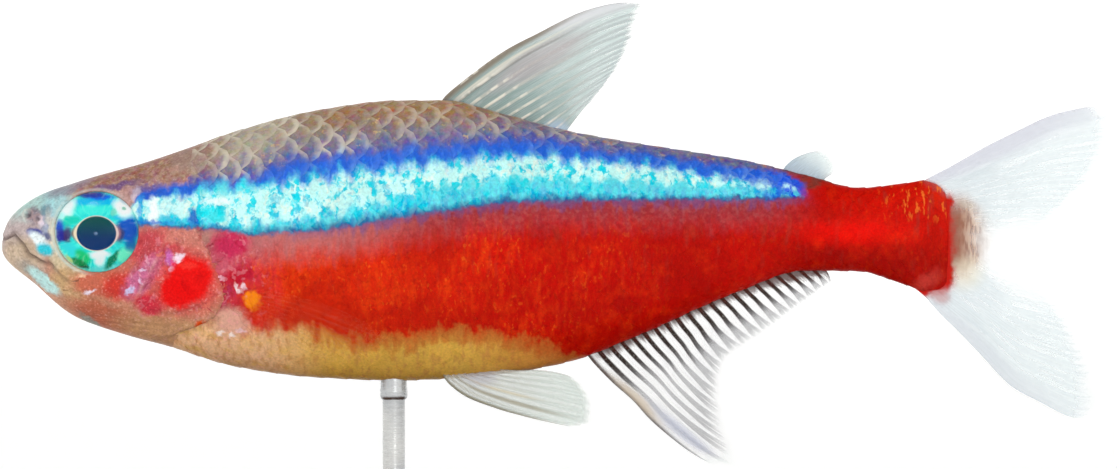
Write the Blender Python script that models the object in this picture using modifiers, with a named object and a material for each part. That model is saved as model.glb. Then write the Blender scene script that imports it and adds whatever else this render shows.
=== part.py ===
"""A cardinal tetra at life size, held by a plain display stand.

The fish faces -X with its left side towards -Y, level and straight. Its own
measures run back from the snout tip (x), out from the middle plane (y) and up
from the mouth's level (z), in millimetres. The empty "fish_place" carries them
to the model's frame, whose origin is under the middle of the fish, on the
underside of the stand.
"""

import math

import bmesh
import bpy
import numpy as np
from mathutils import Matrix

MM = 0.001

# How near two points lie that are one, in millimetres
SAME_POINT = 0.0001
SAME_POINT_ON_ROD = 0.01
SAME_HEIGHT = 0.002

# Driving dimensions, in millimetres
TOTAL_LENGTH = 35.0
BODY_LENGTH = 29.75
CUT = 0.2
FIN_THICKNESS = 0.5

# The body at places behind the snout: back, belly, half width, widest level, fullness above it
BODY_ROWS = (
    (0.00, -0.15, -0.16, 0.01, -0.15, 2.1),
    (0.22, 0.70, -0.60, 0.44, 0.00, 2.2),
    (0.97, 1.38, -1.22, 0.94, 0.05, 2.4),
    (2.45, 1.95, -2.38, 1.46, -0.05, 2.9),
    (3.90, 2.36, -2.87, 1.72, -0.15, 2.8),
    (4.96, 2.67, -3.17, 1.87, -0.15, 2.5),
    (7.47, 3.57, -3.92, 2.10, -0.10, 2.2),
    (9.98, 4.20, -4.24, 2.21, 0.00, 2.1),
    (12.50, 4.50, -4.33, 2.20, 0.10, 2.1),
    (13.90, 4.50, -4.28, 2.12, 0.15, 2.1),
    (15.70, 4.08, -4.12, 1.95, 0.20, 2.1),
    (17.74, 3.55, -3.76, 1.72, 0.25, 2.1),
    (20.03, 3.14, -2.89, 1.42, 0.40, 2.0),
    (23.17, 2.64, -1.52, 1.02, 0.60, 2.0),
    (25.18, 2.18, -0.88, 0.82, 0.62, 2.0),
    (26.93, 1.76, -0.91, 0.66, 0.42, 2.0),
    (28.19, 1.88, -1.27, 0.54, 0.32, 2.0),
    (29.10, 2.02, -1.55, 0.42, 0.25, 2.0),
    (29.75, 1.90, -1.52, 0.30, 0.20, 2.0),
)
BELLY_FULLNESS = 2.1
NOSE_RUN = 3.0
NOSE_RINGS = 9
BODY_RINGS = 30
RING_SIDES = 24

# The eye
EYE_PLACE = (3.01, 0.36)
EYE_ACROSS = 2.69
EYE_HIGH = 2.56
EYE_HALF_DEPTH = 0.70
EYE_OUT = 0.98
EYE_TURN = math.radians(9)

# Lines between neighbours on the side of the body, as (x, z)
GILL_OPENING = (
    (5.60, 4.60), (5.95, 2.70), (6.15, 1.80), (6.17, 0.50), (6.65, -0.28), (7.00, -1.32),
    (7.05, -1.80), (6.75, -2.35), (6.10, -2.65), (5.40, -2.90), (5.00, -4.60),
)
GILL_COVER_FRONT = (
    (5.34, 1.60), (5.15, 0.56), (5.05, -0.25), (4.74, -0.88), (4.38, -1.70), (4.25, -2.10),
    (4.65, -2.46), (5.60, -2.58),
)
GILL_COVER_TOP = (7.80, 1.60)
GILL_COVER_CORNER = (7.80, -2.80)
GILL_COVER_DEPTH = 0.60
GILL_COVER_SHALLOWER = 0.25
GILL_SPACE_SHALLOWER = 0.35
GILL_CORE_ENDS = (3.2, 9.4)
GILL_CORE_RINGS = 12
MOUTH_LINE = (
    (0.08, 0.13), (0.41, 0.27), (0.72, -0.06), (0.88, -0.35), (1.26, -0.57), (1.60, -0.68),
)
JAW_JOINT = (2.00, -1.10)
JAW_REAR = (1.86, -2.60)
TAIL_CUT = ((22.9, 4.6), (22.6, 1.6), (22.3, -4.6))

# A box round the whole body: its front, rear and height each way, and the depth of a cutter through it
BOX_FRONT = -2.0
BOX_REAR = 32.0
BOX_HIGH = 4.6
CUTTER_DEPTH = 12.0
HALF_FROM_MIDDLE = 0.05

# The fins, as (x, z): the outer edge from the front of the base to its rear, and the root inside the body
DORSAL_FRONT = ((13.84, 4.55), (15.63, 5.96), (16.89, 6.62), (18.05, 7.22), (18.99, 7.50))
DORSAL_TIP = ((18.99, 7.50), (19.75, 7.565), (20.28, 7.53), (19.96, 7.09))
DORSAL_REAR = ((19.96, 7.09), (19.81, 6.47), (19.40, 5.62), (18.77, 4.71), (18.14, 3.96), (17.74, 3.40))
DORSAL_ROOT = ((17.55, 2.9), (15.7, 3.5), (13.9, 3.9))

ADIPOSE_EDGE = (
    (24.48, 2.40), (24.74, 2.61), (25.14, 2.86), (25.77, 2.92), (26.24, 2.72), (26.30, 2.45),
    (26.15, 2.18), (25.80, 2.07), (25.60, 1.95),
)
ADIPOSE_ROOT = ((25.3, 1.5), (24.5, 1.7))

ANAL_FRONT = (
    (18.46, -3.64), (19.18, -4.39), (19.81, -4.93), (20.43, -5.62), (21.38, -6.40),
    (22.13, -6.87), (22.63, -7.06),
)
ANAL_TIP = ((22.63, -7.06), (23.00, -7.06), (23.17, -6.91), (22.91, -6.09))
ANAL_REAR = (
    (22.91, -6.09), (22.69, -5.46), (22.63, -4.39), (22.72, -3.83), (23.17, -3.36),
    (24.33, -2.57), (25.46, -1.70), (26.08, -1.26), (26.20, -0.85),
)
ANAL_ROOT = ((26.0, -0.45), (23.2, -0.9), (20.0, -2.3), (18.6, -3.2))

PELVIC_FRONT = (
    (13.75, -4.20), (14.60, -4.83), (15.54, -5.21), (16.26, -5.43), (17.11, -5.65), (18.05, -5.84),
)
PELVIC_TIP = ((18.05, -5.84), (18.40, -5.83), (18.54, -5.66), (18.58, -5.35))
PELVIC_REAR = (
    (18.58, -5.35), (18.39, -4.68), (18.00, -4.36), (17.40, -4.12), (16.20, -4.10), (15.20, -4.05),
)
PELVIC_ROOT = ((15.0, -3.7), (13.9, -3.8))
PELVIC_OUT = 0.55
PELVIC_SPLAY = math.radians(16)

PECTORAL_FRONT = ((-0.25, 0.32), (1.2, 0.55), (3.0, 0.52), (4.6, 0.22))
PECTORAL_TIP = ((4.6, 0.22), (4.95, 0.02), (4.8, -0.32), (4.3, -0.75), (3.6, -1.12))
PECTORAL_REAR = ((3.6, -1.12), (2.4, -1.02), (1.1, -0.62), (-0.25, -0.36))
PECTORAL_PLACE = (7.65, 1.90, -1.80)
PECTORAL_SPLAY = math.radians(17)
PECTORAL_DROOP = math.radians(14)

TAIL_FIN_TOP = (
    (29.00, 2.03), (29.76, 2.39), (30.86, 3.01), (31.80, 3.48), (32.90, 3.99), (34.06, 4.27),
    (34.62, 4.33),
)
TAIL_FIN_TOP_TIP = ((34.62, 4.33), (34.92, 4.16), (35.00, 3.70), (34.81, 2.76))
TAIL_FIN_TOP_REAR = ((34.81, 2.76), (34.31, 1.98), (33.37, 1.04), (32.65, 0.41), (32.08, -0.20))
TAIL_FIN_LOW_REAR = (
    (32.08, -0.20), (32.49, -0.91), (33.37, -1.98), (33.90, -2.89), (34.31, -3.86), (34.47, -4.61),
)
TAIL_FIN_LOW_TIP = ((34.47, -4.61), (34.45, -5.05), (34.21, -5.36), (33.84, -5.50), (33.37, -5.40))
TAIL_FIN_LOW = (
    (33.37, -5.40), (32.58, -4.99), (31.64, -4.46), (30.70, -3.48), (30.07, -2.82), (29.44, -2.20),
    (28.90, -1.62),
)
FORK_ROOT = (29.40, 0.22)
TAIL_FIN_ROOT_TOP = (28.4, 1.0)
TAIL_FIN_ROOT_LOW = (28.4, -0.8)
SLIT_BEFORE_ROOT = 1.5
SLIT_PAST_NOTCH = 0.6

# The stand
BASE_LONG = 26.0
BASE_WIDE = 14.0
BASE_HIGH = 2.0
BASE_CORNER = 3.0
BASE_EASED_EDGE = 0.4
BASE_MIDDLE = -4.0
FIN_CLEARANCE = 2.5
ROD_BEHIND_SNOUT = 12.3
ROD_RADIUS = 0.35
ROD_FOOT_RADIUS = 1.2
ROD_FOOT_HIGH = 0.45
ROD_FILLET = 0.35
ROD_PAST_BELLY = 0.8
ROD_SIDES = 20

LOWEST_FIN_POINT = -7.07
MOUTH_HEIGHT = BASE_HIGH + FIN_CLEARANCE - LOWEST_FIN_POINT

# Colours as (red, green, blue), roughness and metallic value
FINISHES = {
    "head": ((0.30, 0.27, 0.18), 0.35, 0.0),
    "lower_jaw": ((0.42, 0.40, 0.32), 0.35, 0.0),
    "gill_cover": ((0.62, 0.10, 0.06), 0.32, 0.0),
    "eye": ((0.03, 0.22, 0.42), 0.12, 0.0),
    "trunk": ((0.66, 0.06, 0.02), 0.32, 0.0),
    "tail": ((0.60, 0.03, 0.01), 0.32, 0.0),
    "fin": ((0.66, 0.72, 0.68), 0.25, 0.0),
    "stand_base": ((0.10, 0.06, 0.04), 0.45, 0.0),
    "stand_rod": ((0.62, 0.62, 0.60), 0.28, 1.0),
}


def clear_scene():
    for thing in list(bpy.data.objects):
        bpy.data.objects.remove(thing)


def new_collection(name, hidden):
    made = bpy.data.collections.new(name)
    made.hide_render = hidden
    bpy.context.scene.collection.children.link(made)
    return made


def finish(name, colours):
    material = bpy.data.materials.new(name)
    material.use_nodes = True
    shader = material.node_tree.nodes["Principled BSDF"]
    (red, green, blue), roughness, metallic = colours
    shader.inputs["Base Color"].default_value = (red, green, blue, 1.0)
    shader.inputs["Roughness"].default_value = roughness
    shader.inputs["Metallic"].default_value = metallic
    return material


def smooth_line(places, values):
    """A curve through the values that never swings past them, as a function of the place."""
    places = np.array(places)
    values = np.array(values)
    steps = np.diff(places)
    slopes = np.diff(values) / steps
    tangents = np.zeros(len(places))
    tangents[0] = slopes[0]
    tangents[-1] = slopes[-1]
    for i in range(1, len(places) - 1):
        before, after = slopes[i - 1], slopes[i]
        if before * after > 0.0:
            near, far = 2 * steps[i] + steps[i - 1], steps[i] + 2 * steps[i - 1]
            tangents[i] = (near + far) / (near / before + far / after)

    def value_at(place):
        i = int(np.clip(np.searchsorted(places, place) - 1, 0, len(steps) - 1))
        t = (place - places[i]) / steps[i]
        rest = 1.0 - t
        return float(
            values[i] * (1 + 2 * t) * rest * rest
            + values[i + 1] * t * t * (3 - 2 * t)
            + steps[i] * t * rest * (tangents[i] * rest - tangents[i + 1] * t)
        )

    return value_at


# The snout is round like the end of a parabola, so each column is smooth over the root of the distance
ROOTS = [math.sqrt(row[0]) for row in BODY_ROWS]
COLUMNS = [smooth_line(ROOTS, [row[i] for row in BODY_ROWS]) for i in range(1, 6)]


def body_at(x):
    """Back, belly, half width, widest level and upper fullness at x."""
    root = math.sqrt(max(x, 0.0))
    return [column(root) for column in COLUMNS]


def body_ring(x, thinner, shallower):
    """Points round the body at x, which can be made thinner to the sides and shallower."""
    back, belly, half_width, level, fullness = body_at(x)
    back -= shallower
    belly += shallower
    half_width -= thinner
    ring = []
    for i in range(RING_SIDES):
        turn = 2 * math.pi * i / RING_SIDES
        across, up = math.cos(turn), math.sin(turn)
        power = 2.0 / (fullness if up > 0.0 else BELLY_FULLNESS)
        reach = back - level if up > 0.0 else level - belly
        y = half_width * math.copysign(abs(across) ** power, across)
        z = level + reach * math.copysign(abs(up) ** power, up)
        ring.append((x * MM, y * MM, z * MM))
    return ring


def loft(name, places, tip=None, thinner=0.0, shallower=0.0):
    """A closed skin over the body's rings at the places, with an optional point at its front."""
    shape = bmesh.new()
    rings = [[shape.verts.new(point) for point in body_ring(x, thinner, shallower)] for x in places]
    for front, rear in zip(rings, rings[1:]):
        for i in range(RING_SIDES):
            j = (i + 1) % RING_SIDES
            shape.faces.new((front[i], front[j], rear[j], rear[i]))
    if tip is None:
        shape.faces.new(reversed(rings[0]))
    else:
        point = shape.verts.new([value * MM for value in tip])
        for i in range(RING_SIDES):
            shape.faces.new((rings[0][(i + 1) % RING_SIDES], rings[0][i], point))
    shape.faces.new(rings[-1])
    bmesh.ops.recalc_face_normals(shape, faces=shape.faces)
    mesh = bpy.data.meshes.new(name)
    shape.to_mesh(mesh)
    shape.free()
    return mesh


def body_places():
    """Ring places: close together round the snout, then even to the tail."""
    nose = [NOSE_RUN * (i / NOSE_RINGS) ** 2 for i in range(1, NOSE_RINGS + 1)]
    rest = np.linspace(NOSE_RUN, BODY_LENGTH, BODY_RINGS + 1)[1:]
    return nose + [float(x) for x in rest]


def add_object(name, mesh, collection, parent):
    thing = bpy.data.objects.new(name, mesh)
    thing.parent = parent
    collection.objects.link(thing)
    return thing


def add_cutter(name, mesh, collection, parent):
    thing = add_object(name, mesh, collection, parent)
    thing.hide_render = True
    thing.display_type = "WIRE"
    return thing


def shape_with(thing, operation, cutter):
    modifier = thing.modifiers.new(f"{operation.lower()} {cutter.name}", "BOOLEAN")
    modifier.operation = operation
    modifier.solver = "EXACT"
    modifier.object = cutter


def rounded(points, steps):
    """Points along a smooth curve through the given ones, both ends kept."""
    ends = [tuple(2 * a - b for a, b in zip(points[0], points[1]))]
    ends += list(points)
    ends.append(tuple(2 * a - b for a, b in zip(points[-1], points[-2])))
    run = []
    for i in range(1, len(ends) - 2):
        before, here, there, after = (np.array(point) for point in ends[i - 1:i + 3])
        for step in range(steps):
            t = step / steps
            bend = (2 * before - 5 * here + 4 * there - after) * t * t
            swing = (3 * here - before - 3 * there + after) * t ** 3
            run.append(tuple(0.5 * (2 * here + (there - before) * t + bend + swing)))
    run.append(tuple(points[-1]))
    return run


def joined(*runs):
    """One outline from runs that follow each other, with each shared corner kept once."""
    outline = []
    for run in runs:
        for point in run:
            if not outline or math.dist(outline[-1], point) > 0.02:
                outline.append(tuple(point))
    return outline


def grown(outline, distance):
    """The outline moved out by the distance, or in where it is negative."""
    points = [np.array(point) for point in outline]
    area = sum(a[0] * b[1] - b[0] * a[1] for a, b in zip(points, points[1:] + points[:1]))
    side = 1.0 if area > 0.0 else -1.0
    moved = []
    for i, here in enumerate(points):
        before = here - points[i - 1]
        after = points[(i + 1) % len(points)] - here
        before /= np.linalg.norm(before)
        after /= np.linalg.norm(after)
        out = np.array((before[1] + after[1], -before[0] - after[0]))
        out *= side / np.linalg.norm(out)
        square = max(abs(out[0] * after[1] - out[1] * after[0]), 0.5)
        moved.append(tuple(here + out * distance / square))
    return moved


def plate(name, outline, thickness, middle=0.0):
    """A flat plate standing in the fish's middle plane, or beside it, as a closed mesh."""
    curve = bpy.data.curves.new(name, "CURVE")
    curve.dimensions = "2D"
    curve.fill_mode = "BOTH"
    curve.extrude = thickness * MM / 2
    spline = curve.splines.new("POLY")
    spline.points.add(len(outline) - 1)
    for point, (x, z) in zip(spline.points, outline):
        point.co = (x * MM, z * MM, 0.0, 1.0)
    spline.use_cyclic_u = True
    flat = bpy.data.objects.new(name, curve)
    bpy.context.scene.collection.objects.link(flat)
    mesh = bpy.data.meshes.new_from_object(flat.evaluated_get(bpy.context.evaluated_depsgraph_get()))
    bpy.data.objects.remove(flat)
    shape = bmesh.new()
    shape.from_mesh(mesh)
    bmesh.ops.remove_doubles(shape, verts=shape.verts, dist=SAME_POINT * MM)
    upright = Matrix.Rotation(math.radians(90), 4, "X")
    shape.transform(Matrix.Translation((0.0, middle * MM, 0.0)) @ upright)
    bmesh.ops.recalc_face_normals(shape, faces=shape.faces)
    shape.to_mesh(mesh)
    shape.free()
    mesh.name = name
    return mesh


def eye_ball(name, grow, side):
    """A flattened ball at the eye's place, turned to follow the head. side is 1 or -1."""
    x, z = EYE_PLACE
    shape = bmesh.new()
    poles_out = Matrix.Rotation(math.radians(90), 4, "X")
    bmesh.ops.create_uvsphere(shape, u_segments=24, v_segments=12, radius=1.0, matrix=poles_out)
    sizes = (EYE_ACROSS / 2 + grow, EYE_HALF_DEPTH + grow, EYE_HIGH / 2 + grow)
    bmesh.ops.scale(shape, vec=[size * MM for size in sizes], verts=shape.verts)
    turn = Matrix.Rotation(side * EYE_TURN, 4, "Z")
    shape.transform(Matrix.Translation((x * MM, side * EYE_OUT * MM, z * MM)) @ turn)
    mesh = bpy.data.meshes.new(name)
    shape.to_mesh(mesh)
    shape.free()
    mesh.shade_smooth()
    return mesh


def mirrored(mesh, name):
    """A copy for the fish's other side."""
    shape = bmesh.new()
    shape.from_mesh(mesh)
    shape.transform(Matrix.Scale(-1.0, 4, (0.0, 1.0, 0.0)))
    bmesh.ops.reverse_faces(shape, faces=shape.faces)
    copy = bpy.data.meshes.new(name)
    shape.to_mesh(copy)
    shape.free()
    return copy


def regions():
    """The side outlines that part the body, before the thin cuts are taken off them."""
    opening = rounded(GILL_OPENING, 3)
    head = joined([(BOX_FRONT, BOX_HIGH)], opening, [(BOX_FRONT, -BOX_HIGH)])
    trunk = joined(opening[::-1], TAIL_CUT)
    tail = joined(TAIL_CUT[::-1], [(BOX_REAR, BOX_HIGH), (BOX_REAR, -BOX_HIGH)])
    cover = joined([GILL_COVER_TOP], rounded(GILL_COVER_FRONT, 2), [GILL_COVER_CORNER])
    lips = [(BOX_FRONT, MOUTH_LINE[0][1])]
    jaw = joined(lips, rounded(MOUTH_LINE, 2), [JAW_JOINT, JAW_REAR, (BOX_FRONT, JAW_REAR[1])])
    return {"head": head, "trunk": trunk, "tail": tail, "cover": cover, "jaw": jaw}


class Builder:
    """Holds what every piece needs: the two collections, the place, the body and its clearance."""

    def __init__(self):
        self.parts = new_collection("Cardinal tetra", False)
        self.cutters = new_collection("Cutters", True)
        self.place = bpy.data.objects.new("fish_place", None)
        self.place.location = (-TOTAL_LENGTH / 2 * MM, 0.0, MOUTH_HEIGHT * MM)
        self.parts.objects.link(self.place)
        bpy.context.view_layer.update()
        self.finishes = {name: finish(name, colours) for name, colours in FINISHES.items()}
        back, belly = BODY_ROWS[0][1:3]
        self.tip = (0.0, 0.0, (back + belly) / 2)
        self.body = loft("body", body_places(), self.tip)
        self.clearance = self.cutter("body_clearance", self.body_clearance())
        self.outlines = regions()

    def cutter(self, name, mesh):
        return add_cutter(name, mesh, self.cutters, self.place)

    def part(self, name, mesh, look):
        thing = add_object(name, mesh, self.parts, self.place)
        mesh.materials.clear()
        mesh.materials.append(self.finishes[look].copy())
        thing.active_material.name = name
        return thing

    def body_clearance(self):
        """The body with the thin cut's width added all round."""
        shape = bmesh.new()
        shape.from_mesh(self.body)
        shape.normal_update()
        moves = [vertex.normal * CUT * MM for vertex in shape.verts]
        for vertex, move in zip(shape.verts, moves):
            vertex.co += move
        mesh = bpy.data.meshes.new("body_clearance")
        shape.to_mesh(mesh)
        shape.free()
        return mesh

    def region(self, name, move):
        """A cutter as deep as the body, from a side outline grown by move."""
        mesh = plate(f"{name}_region", grown(self.outlines[name], move), CUTTER_DEPTH)
        return self.cutter(f"{name}_region", mesh)

    def gill_core(self, name, thinner, shallower):
        """What is left of the head inside the gill covers."""
        places = [float(x) for x in np.linspace(*GILL_CORE_ENDS, GILL_CORE_RINGS)]
        mesh = loft(name, places, None, thinner, shallower)
        return self.cutter(name, mesh)

    def build_body(self):
        head_region = self.region("head", -CUT / 2)
        jaw_region = self.region("jaw", -CUT / 2)
        jaw_space = self.region("jaw", CUT / 2)
        cover_region = self.region("cover", -CUT / 2)
        cover_space = self.region("cover", CUT / 2)
        core = self.gill_core("gill_core", GILL_COVER_DEPTH, GILL_COVER_SHALLOWER)
        space_core = self.gill_core("gill_space_core", GILL_COVER_DEPTH + CUT, GILL_SPACE_SHALLOWER)
        shape_with(cover_space, "DIFFERENCE", space_core)

        head = self.part("head", self.body.copy(), "head")
        shape_with(head, "INTERSECT", head_region)
        shape_with(head, "DIFFERENCE", jaw_space)
        shape_with(head, "DIFFERENCE", cover_space)
        for word, side in (("left", -1), ("right", 1)):
            socket = self.cutter(f"eye_socket_{word}", eye_ball(f"eye_socket_{word}", CUT, side))
            shape_with(head, "DIFFERENCE", socket)
            self.part(f"eye_{word}", eye_ball(f"eye_{word}", 0.0, side), "eye")
            cover = self.part(f"gill_cover_{word}", self.body.copy(), "gill_cover")
            half = self.cutter(f"half_{word}", half_box(f"half_{word}", side))
            for cutter in (head_region, cover_region, half):
                shape_with(cover, "INTERSECT", cutter)
            shape_with(cover, "DIFFERENCE", core)

        jaw = self.part("lower_jaw", self.body.copy(), "lower_jaw")
        shape_with(jaw, "INTERSECT", jaw_region)
        for name in ("trunk", "tail"):
            piece = self.part(name, self.body.copy(), name)
            shape_with(piece, "INTERSECT", self.region(name, -CUT / 2))

    def fin(self, name, mesh):
        made = self.part(name, mesh, "fin")
        shape_with(made, "DIFFERENCE", self.clearance)
        return made

    def build_middle_fins(self):
        outlines = {
            "dorsal_fin": joined(
                rounded(DORSAL_FRONT, 3), rounded(DORSAL_TIP, 2), rounded(DORSAL_REAR, 3), DORSAL_ROOT
            ),
            "adipose_fin": joined(rounded(ADIPOSE_EDGE, 2), ADIPOSE_ROOT),
            "anal_fin": joined(
                rounded(ANAL_FRONT, 3), rounded(ANAL_TIP, 2), rounded(ANAL_REAR, 3), ANAL_ROOT
            ),
            "caudal_fin_upper": joined(
                [TAIL_FIN_ROOT_TOP], rounded(TAIL_FIN_TOP, 3), rounded(TAIL_FIN_TOP_TIP, 3),
                rounded(TAIL_FIN_TOP_REAR, 3), [FORK_ROOT],
            ),
            "caudal_fin_lower": joined(
                [FORK_ROOT], rounded(TAIL_FIN_LOW_REAR, 3), rounded(TAIL_FIN_LOW_TIP, 3),
                rounded(TAIL_FIN_LOW, 3), [TAIL_FIN_ROOT_LOW],
            ),
        }
        for name, outline in outlines.items():
            self.fin(name, plate(name, outline, FIN_THICKNESS))
        slit = self.cutter("fork_slit", fork_slit())
        for name in ("caudal_fin_upper", "caudal_fin_lower"):
            shape_with(bpy.data.objects[name], "DIFFERENCE", slit)

    def build_paired_fins(self):
        pelvic = plate(
            "pelvic_fin_right",
            joined(rounded(PELVIC_FRONT, 3), rounded(PELVIC_TIP, 2), rounded(PELVIC_REAR, 3), PELVIC_ROOT),
            FIN_THICKNESS,
        )
        hinge = Matrix.Translation((0.0, PELVIC_OUT * MM, PELVIC_FRONT[0][1] * MM))
        splay = Matrix.Rotation(PELVIC_SPLAY, 4, "X")
        pelvic.transform(hinge @ splay @ Matrix.Translation((0.0, 0.0, -PELVIC_FRONT[0][1] * MM)))
        pectoral = plate(
            "pectoral_fin_right",
            joined(rounded(PECTORAL_FRONT, 3), rounded(PECTORAL_TIP, 2), rounded(PECTORAL_REAR, 3)),
            FIN_THICKNESS,
        )
        root = Matrix.Translation([value * MM for value in PECTORAL_PLACE])
        splay = Matrix.Rotation(PECTORAL_SPLAY, 4, "Z")
        droop = Matrix.Rotation(PECTORAL_DROOP, 4, "Y")
        pectoral.transform(root @ splay @ droop)
        for mesh in (pelvic, pectoral):
            self.fin(mesh.name, mesh)
            left = mesh.name.replace("right", "left")
            self.fin(left, mirrored(mesh, left))

    def build_stand(self):
        base = self.part("stand_base", base_mesh(), "stand_base")
        rod = self.part("stand_rod", rod_profile(), "stand_rod")
        middle = Matrix.Translation((BASE_MIDDLE * MM, 0.0, 0.0))
        base.matrix_world = middle
        turn = rod.modifiers.new("turned", "SCREW")
        turn.steps = ROD_SIDES
        turn.render_steps = ROD_SIDES
        turn.use_merge_vertices = True
        turn.merge_threshold = SAME_POINT_ON_ROD * MM
        rod.matrix_world = Matrix.Translation(
            ((ROD_BEHIND_SNOUT - TOTAL_LENGTH / 2) * MM, 0.0, (BASE_HIGH + CUT) * MM)
        )
        shape_with(rod, "DIFFERENCE", self.clearance)


def half_box(name, side):
    """A cutter that holds one side of the body, a little off its middle plane."""
    corners = (
        (BOX_FRONT, BOX_HIGH), (BOX_FRONT, -BOX_HIGH), (BOX_REAR, -BOX_HIGH), (BOX_REAR, BOX_HIGH),
    )
    middle = side * (CUTTER_DEPTH / 4 + HALF_FROM_MIDDLE)
    return plate(name, corners, CUTTER_DEPTH / 2, middle)


def fork_slit():
    """The thin cut between the tail fin's two lobes."""
    root, notch = np.array(FORK_ROOT), np.array(TAIL_FIN_TOP_REAR[-1])
    along = (notch - root) / np.linalg.norm(notch - root)
    up = np.array((-along[1], along[0])) * CUT / 2
    front = root - along * SLIT_BEFORE_ROOT
    rear = notch + along * SLIT_PAST_NOTCH
    corners = (front + up, rear + up, rear - up, front - up)
    return plate("fork_slit", [tuple(corner) for corner in corners], CUTTER_DEPTH)


def base_mesh():
    """A flat block with round corners and an eased top edge."""
    shape = bmesh.new()
    bmesh.ops.create_cube(shape, size=1.0)
    bmesh.ops.scale(shape, vec=(BASE_LONG * MM, BASE_WIDE * MM, BASE_HIGH * MM), verts=shape.verts)
    bmesh.ops.translate(shape, vec=(0.0, 0.0, BASE_HIGH * MM / 2), verts=shape.verts)
    upright = [edge for edge in shape.edges if abs(edge.verts[0].co.z - edge.verts[1].co.z) > MM]
    bmesh.ops.bevel(
        shape, geom=upright, offset=BASE_CORNER * MM, offset_type="OFFSET",
        segments=6, profile=0.5, affect="EDGES",
    )
    high = (BASE_HIGH - SAME_HEIGHT) * MM
    top = [edge for edge in shape.edges if all(vertex.co.z > high for vertex in edge.verts)]
    rim = [edge for edge in top if abs(edge.calc_face_angle()) > math.radians(45)]
    bmesh.ops.bevel(
        shape, geom=rim, offset=BASE_EASED_EDGE * MM, offset_type="OFFSET",
        segments=2, profile=0.5, affect="EDGES",
    )
    mesh = bpy.data.meshes.new("stand_base")
    shape.to_mesh(mesh)
    shape.free()
    return mesh


def rod_profile():
    """Half the outline of the rod and its round foot, top to bottom on its outer side."""
    belly = min(row[2] for row in BODY_ROWS)
    top = MOUTH_HEIGHT - BASE_HIGH - CUT + belly + ROD_PAST_BELLY
    outline = [(0.0, top), (ROD_RADIUS, top)]
    for i in range(4):
        turn = math.radians(90) * i / 3
        outline.append((
            ROD_RADIUS + ROD_FILLET * (1 - math.cos(turn)),
            ROD_FOOT_HIGH + ROD_FILLET * (1 - math.sin(turn)),
        ))
    outline += [(ROD_FOOT_RADIUS, ROD_FOOT_HIGH), (ROD_FOOT_RADIUS, 0.0), (0.0, 0.0)]
    shape = bmesh.new()
    points = [shape.verts.new((x * MM, 0.0, z * MM)) for x, z in outline]
    for first, second in zip(points, points[1:]):
        shape.edges.new((first, second))
    mesh = bpy.data.meshes.new("stand_rod")
    shape.to_mesh(mesh)
    shape.free()
    return mesh


def main():
    clear_scene()
    builder = Builder()
    builder.build_body()
    builder.build_middle_fins()
    builder.build_paired_fins()
    builder.build_stand()


main()
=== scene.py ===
"""A cardinal tetra at life size on a plain display stand, finished for a studio picture.

The fish's own measures run back from the snout tip (x), out from the middle plane (y) and up from
the level of the mouth (z), in millimetres. The meshes are in metres, in the frame of the CAD model.
"""

import math

import bpy
import numpy as np
from mathutils import Color, Matrix, Vector


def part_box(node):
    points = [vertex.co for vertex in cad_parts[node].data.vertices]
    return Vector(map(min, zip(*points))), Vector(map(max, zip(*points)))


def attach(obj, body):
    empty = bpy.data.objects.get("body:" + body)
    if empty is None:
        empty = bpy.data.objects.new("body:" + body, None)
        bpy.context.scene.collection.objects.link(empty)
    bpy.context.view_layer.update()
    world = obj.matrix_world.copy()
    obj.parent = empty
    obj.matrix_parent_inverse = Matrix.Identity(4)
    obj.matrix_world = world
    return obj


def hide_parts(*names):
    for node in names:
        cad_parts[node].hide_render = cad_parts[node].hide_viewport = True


bl_info = {
    "name": "Cardinal Tetra on a Stand",
    "version": (1, 0, 0),
    "blender": (4, 5, 0),
    "location": "View3D > Sidebar > Tetra",
    "description": "A life-size cardinal tetra with scales, rayed fins and clear eyes on a display stand",
    "category": "Add Mesh",
}

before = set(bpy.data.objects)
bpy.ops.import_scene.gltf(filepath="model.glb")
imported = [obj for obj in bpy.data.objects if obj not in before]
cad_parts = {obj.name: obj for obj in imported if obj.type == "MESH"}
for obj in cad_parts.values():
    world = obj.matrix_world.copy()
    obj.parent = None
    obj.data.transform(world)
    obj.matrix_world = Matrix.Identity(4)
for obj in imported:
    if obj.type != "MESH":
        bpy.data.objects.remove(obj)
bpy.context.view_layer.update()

MM = 0.001
EYE_PLACE = (3.01, 0.36)
SNOUT_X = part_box("lower_jaw")[0].x / MM
MOUTH_LEVEL = (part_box("eye_left")[0].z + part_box("eye_left")[1].z) / 2 / MM - EYE_PLACE[1]

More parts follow.
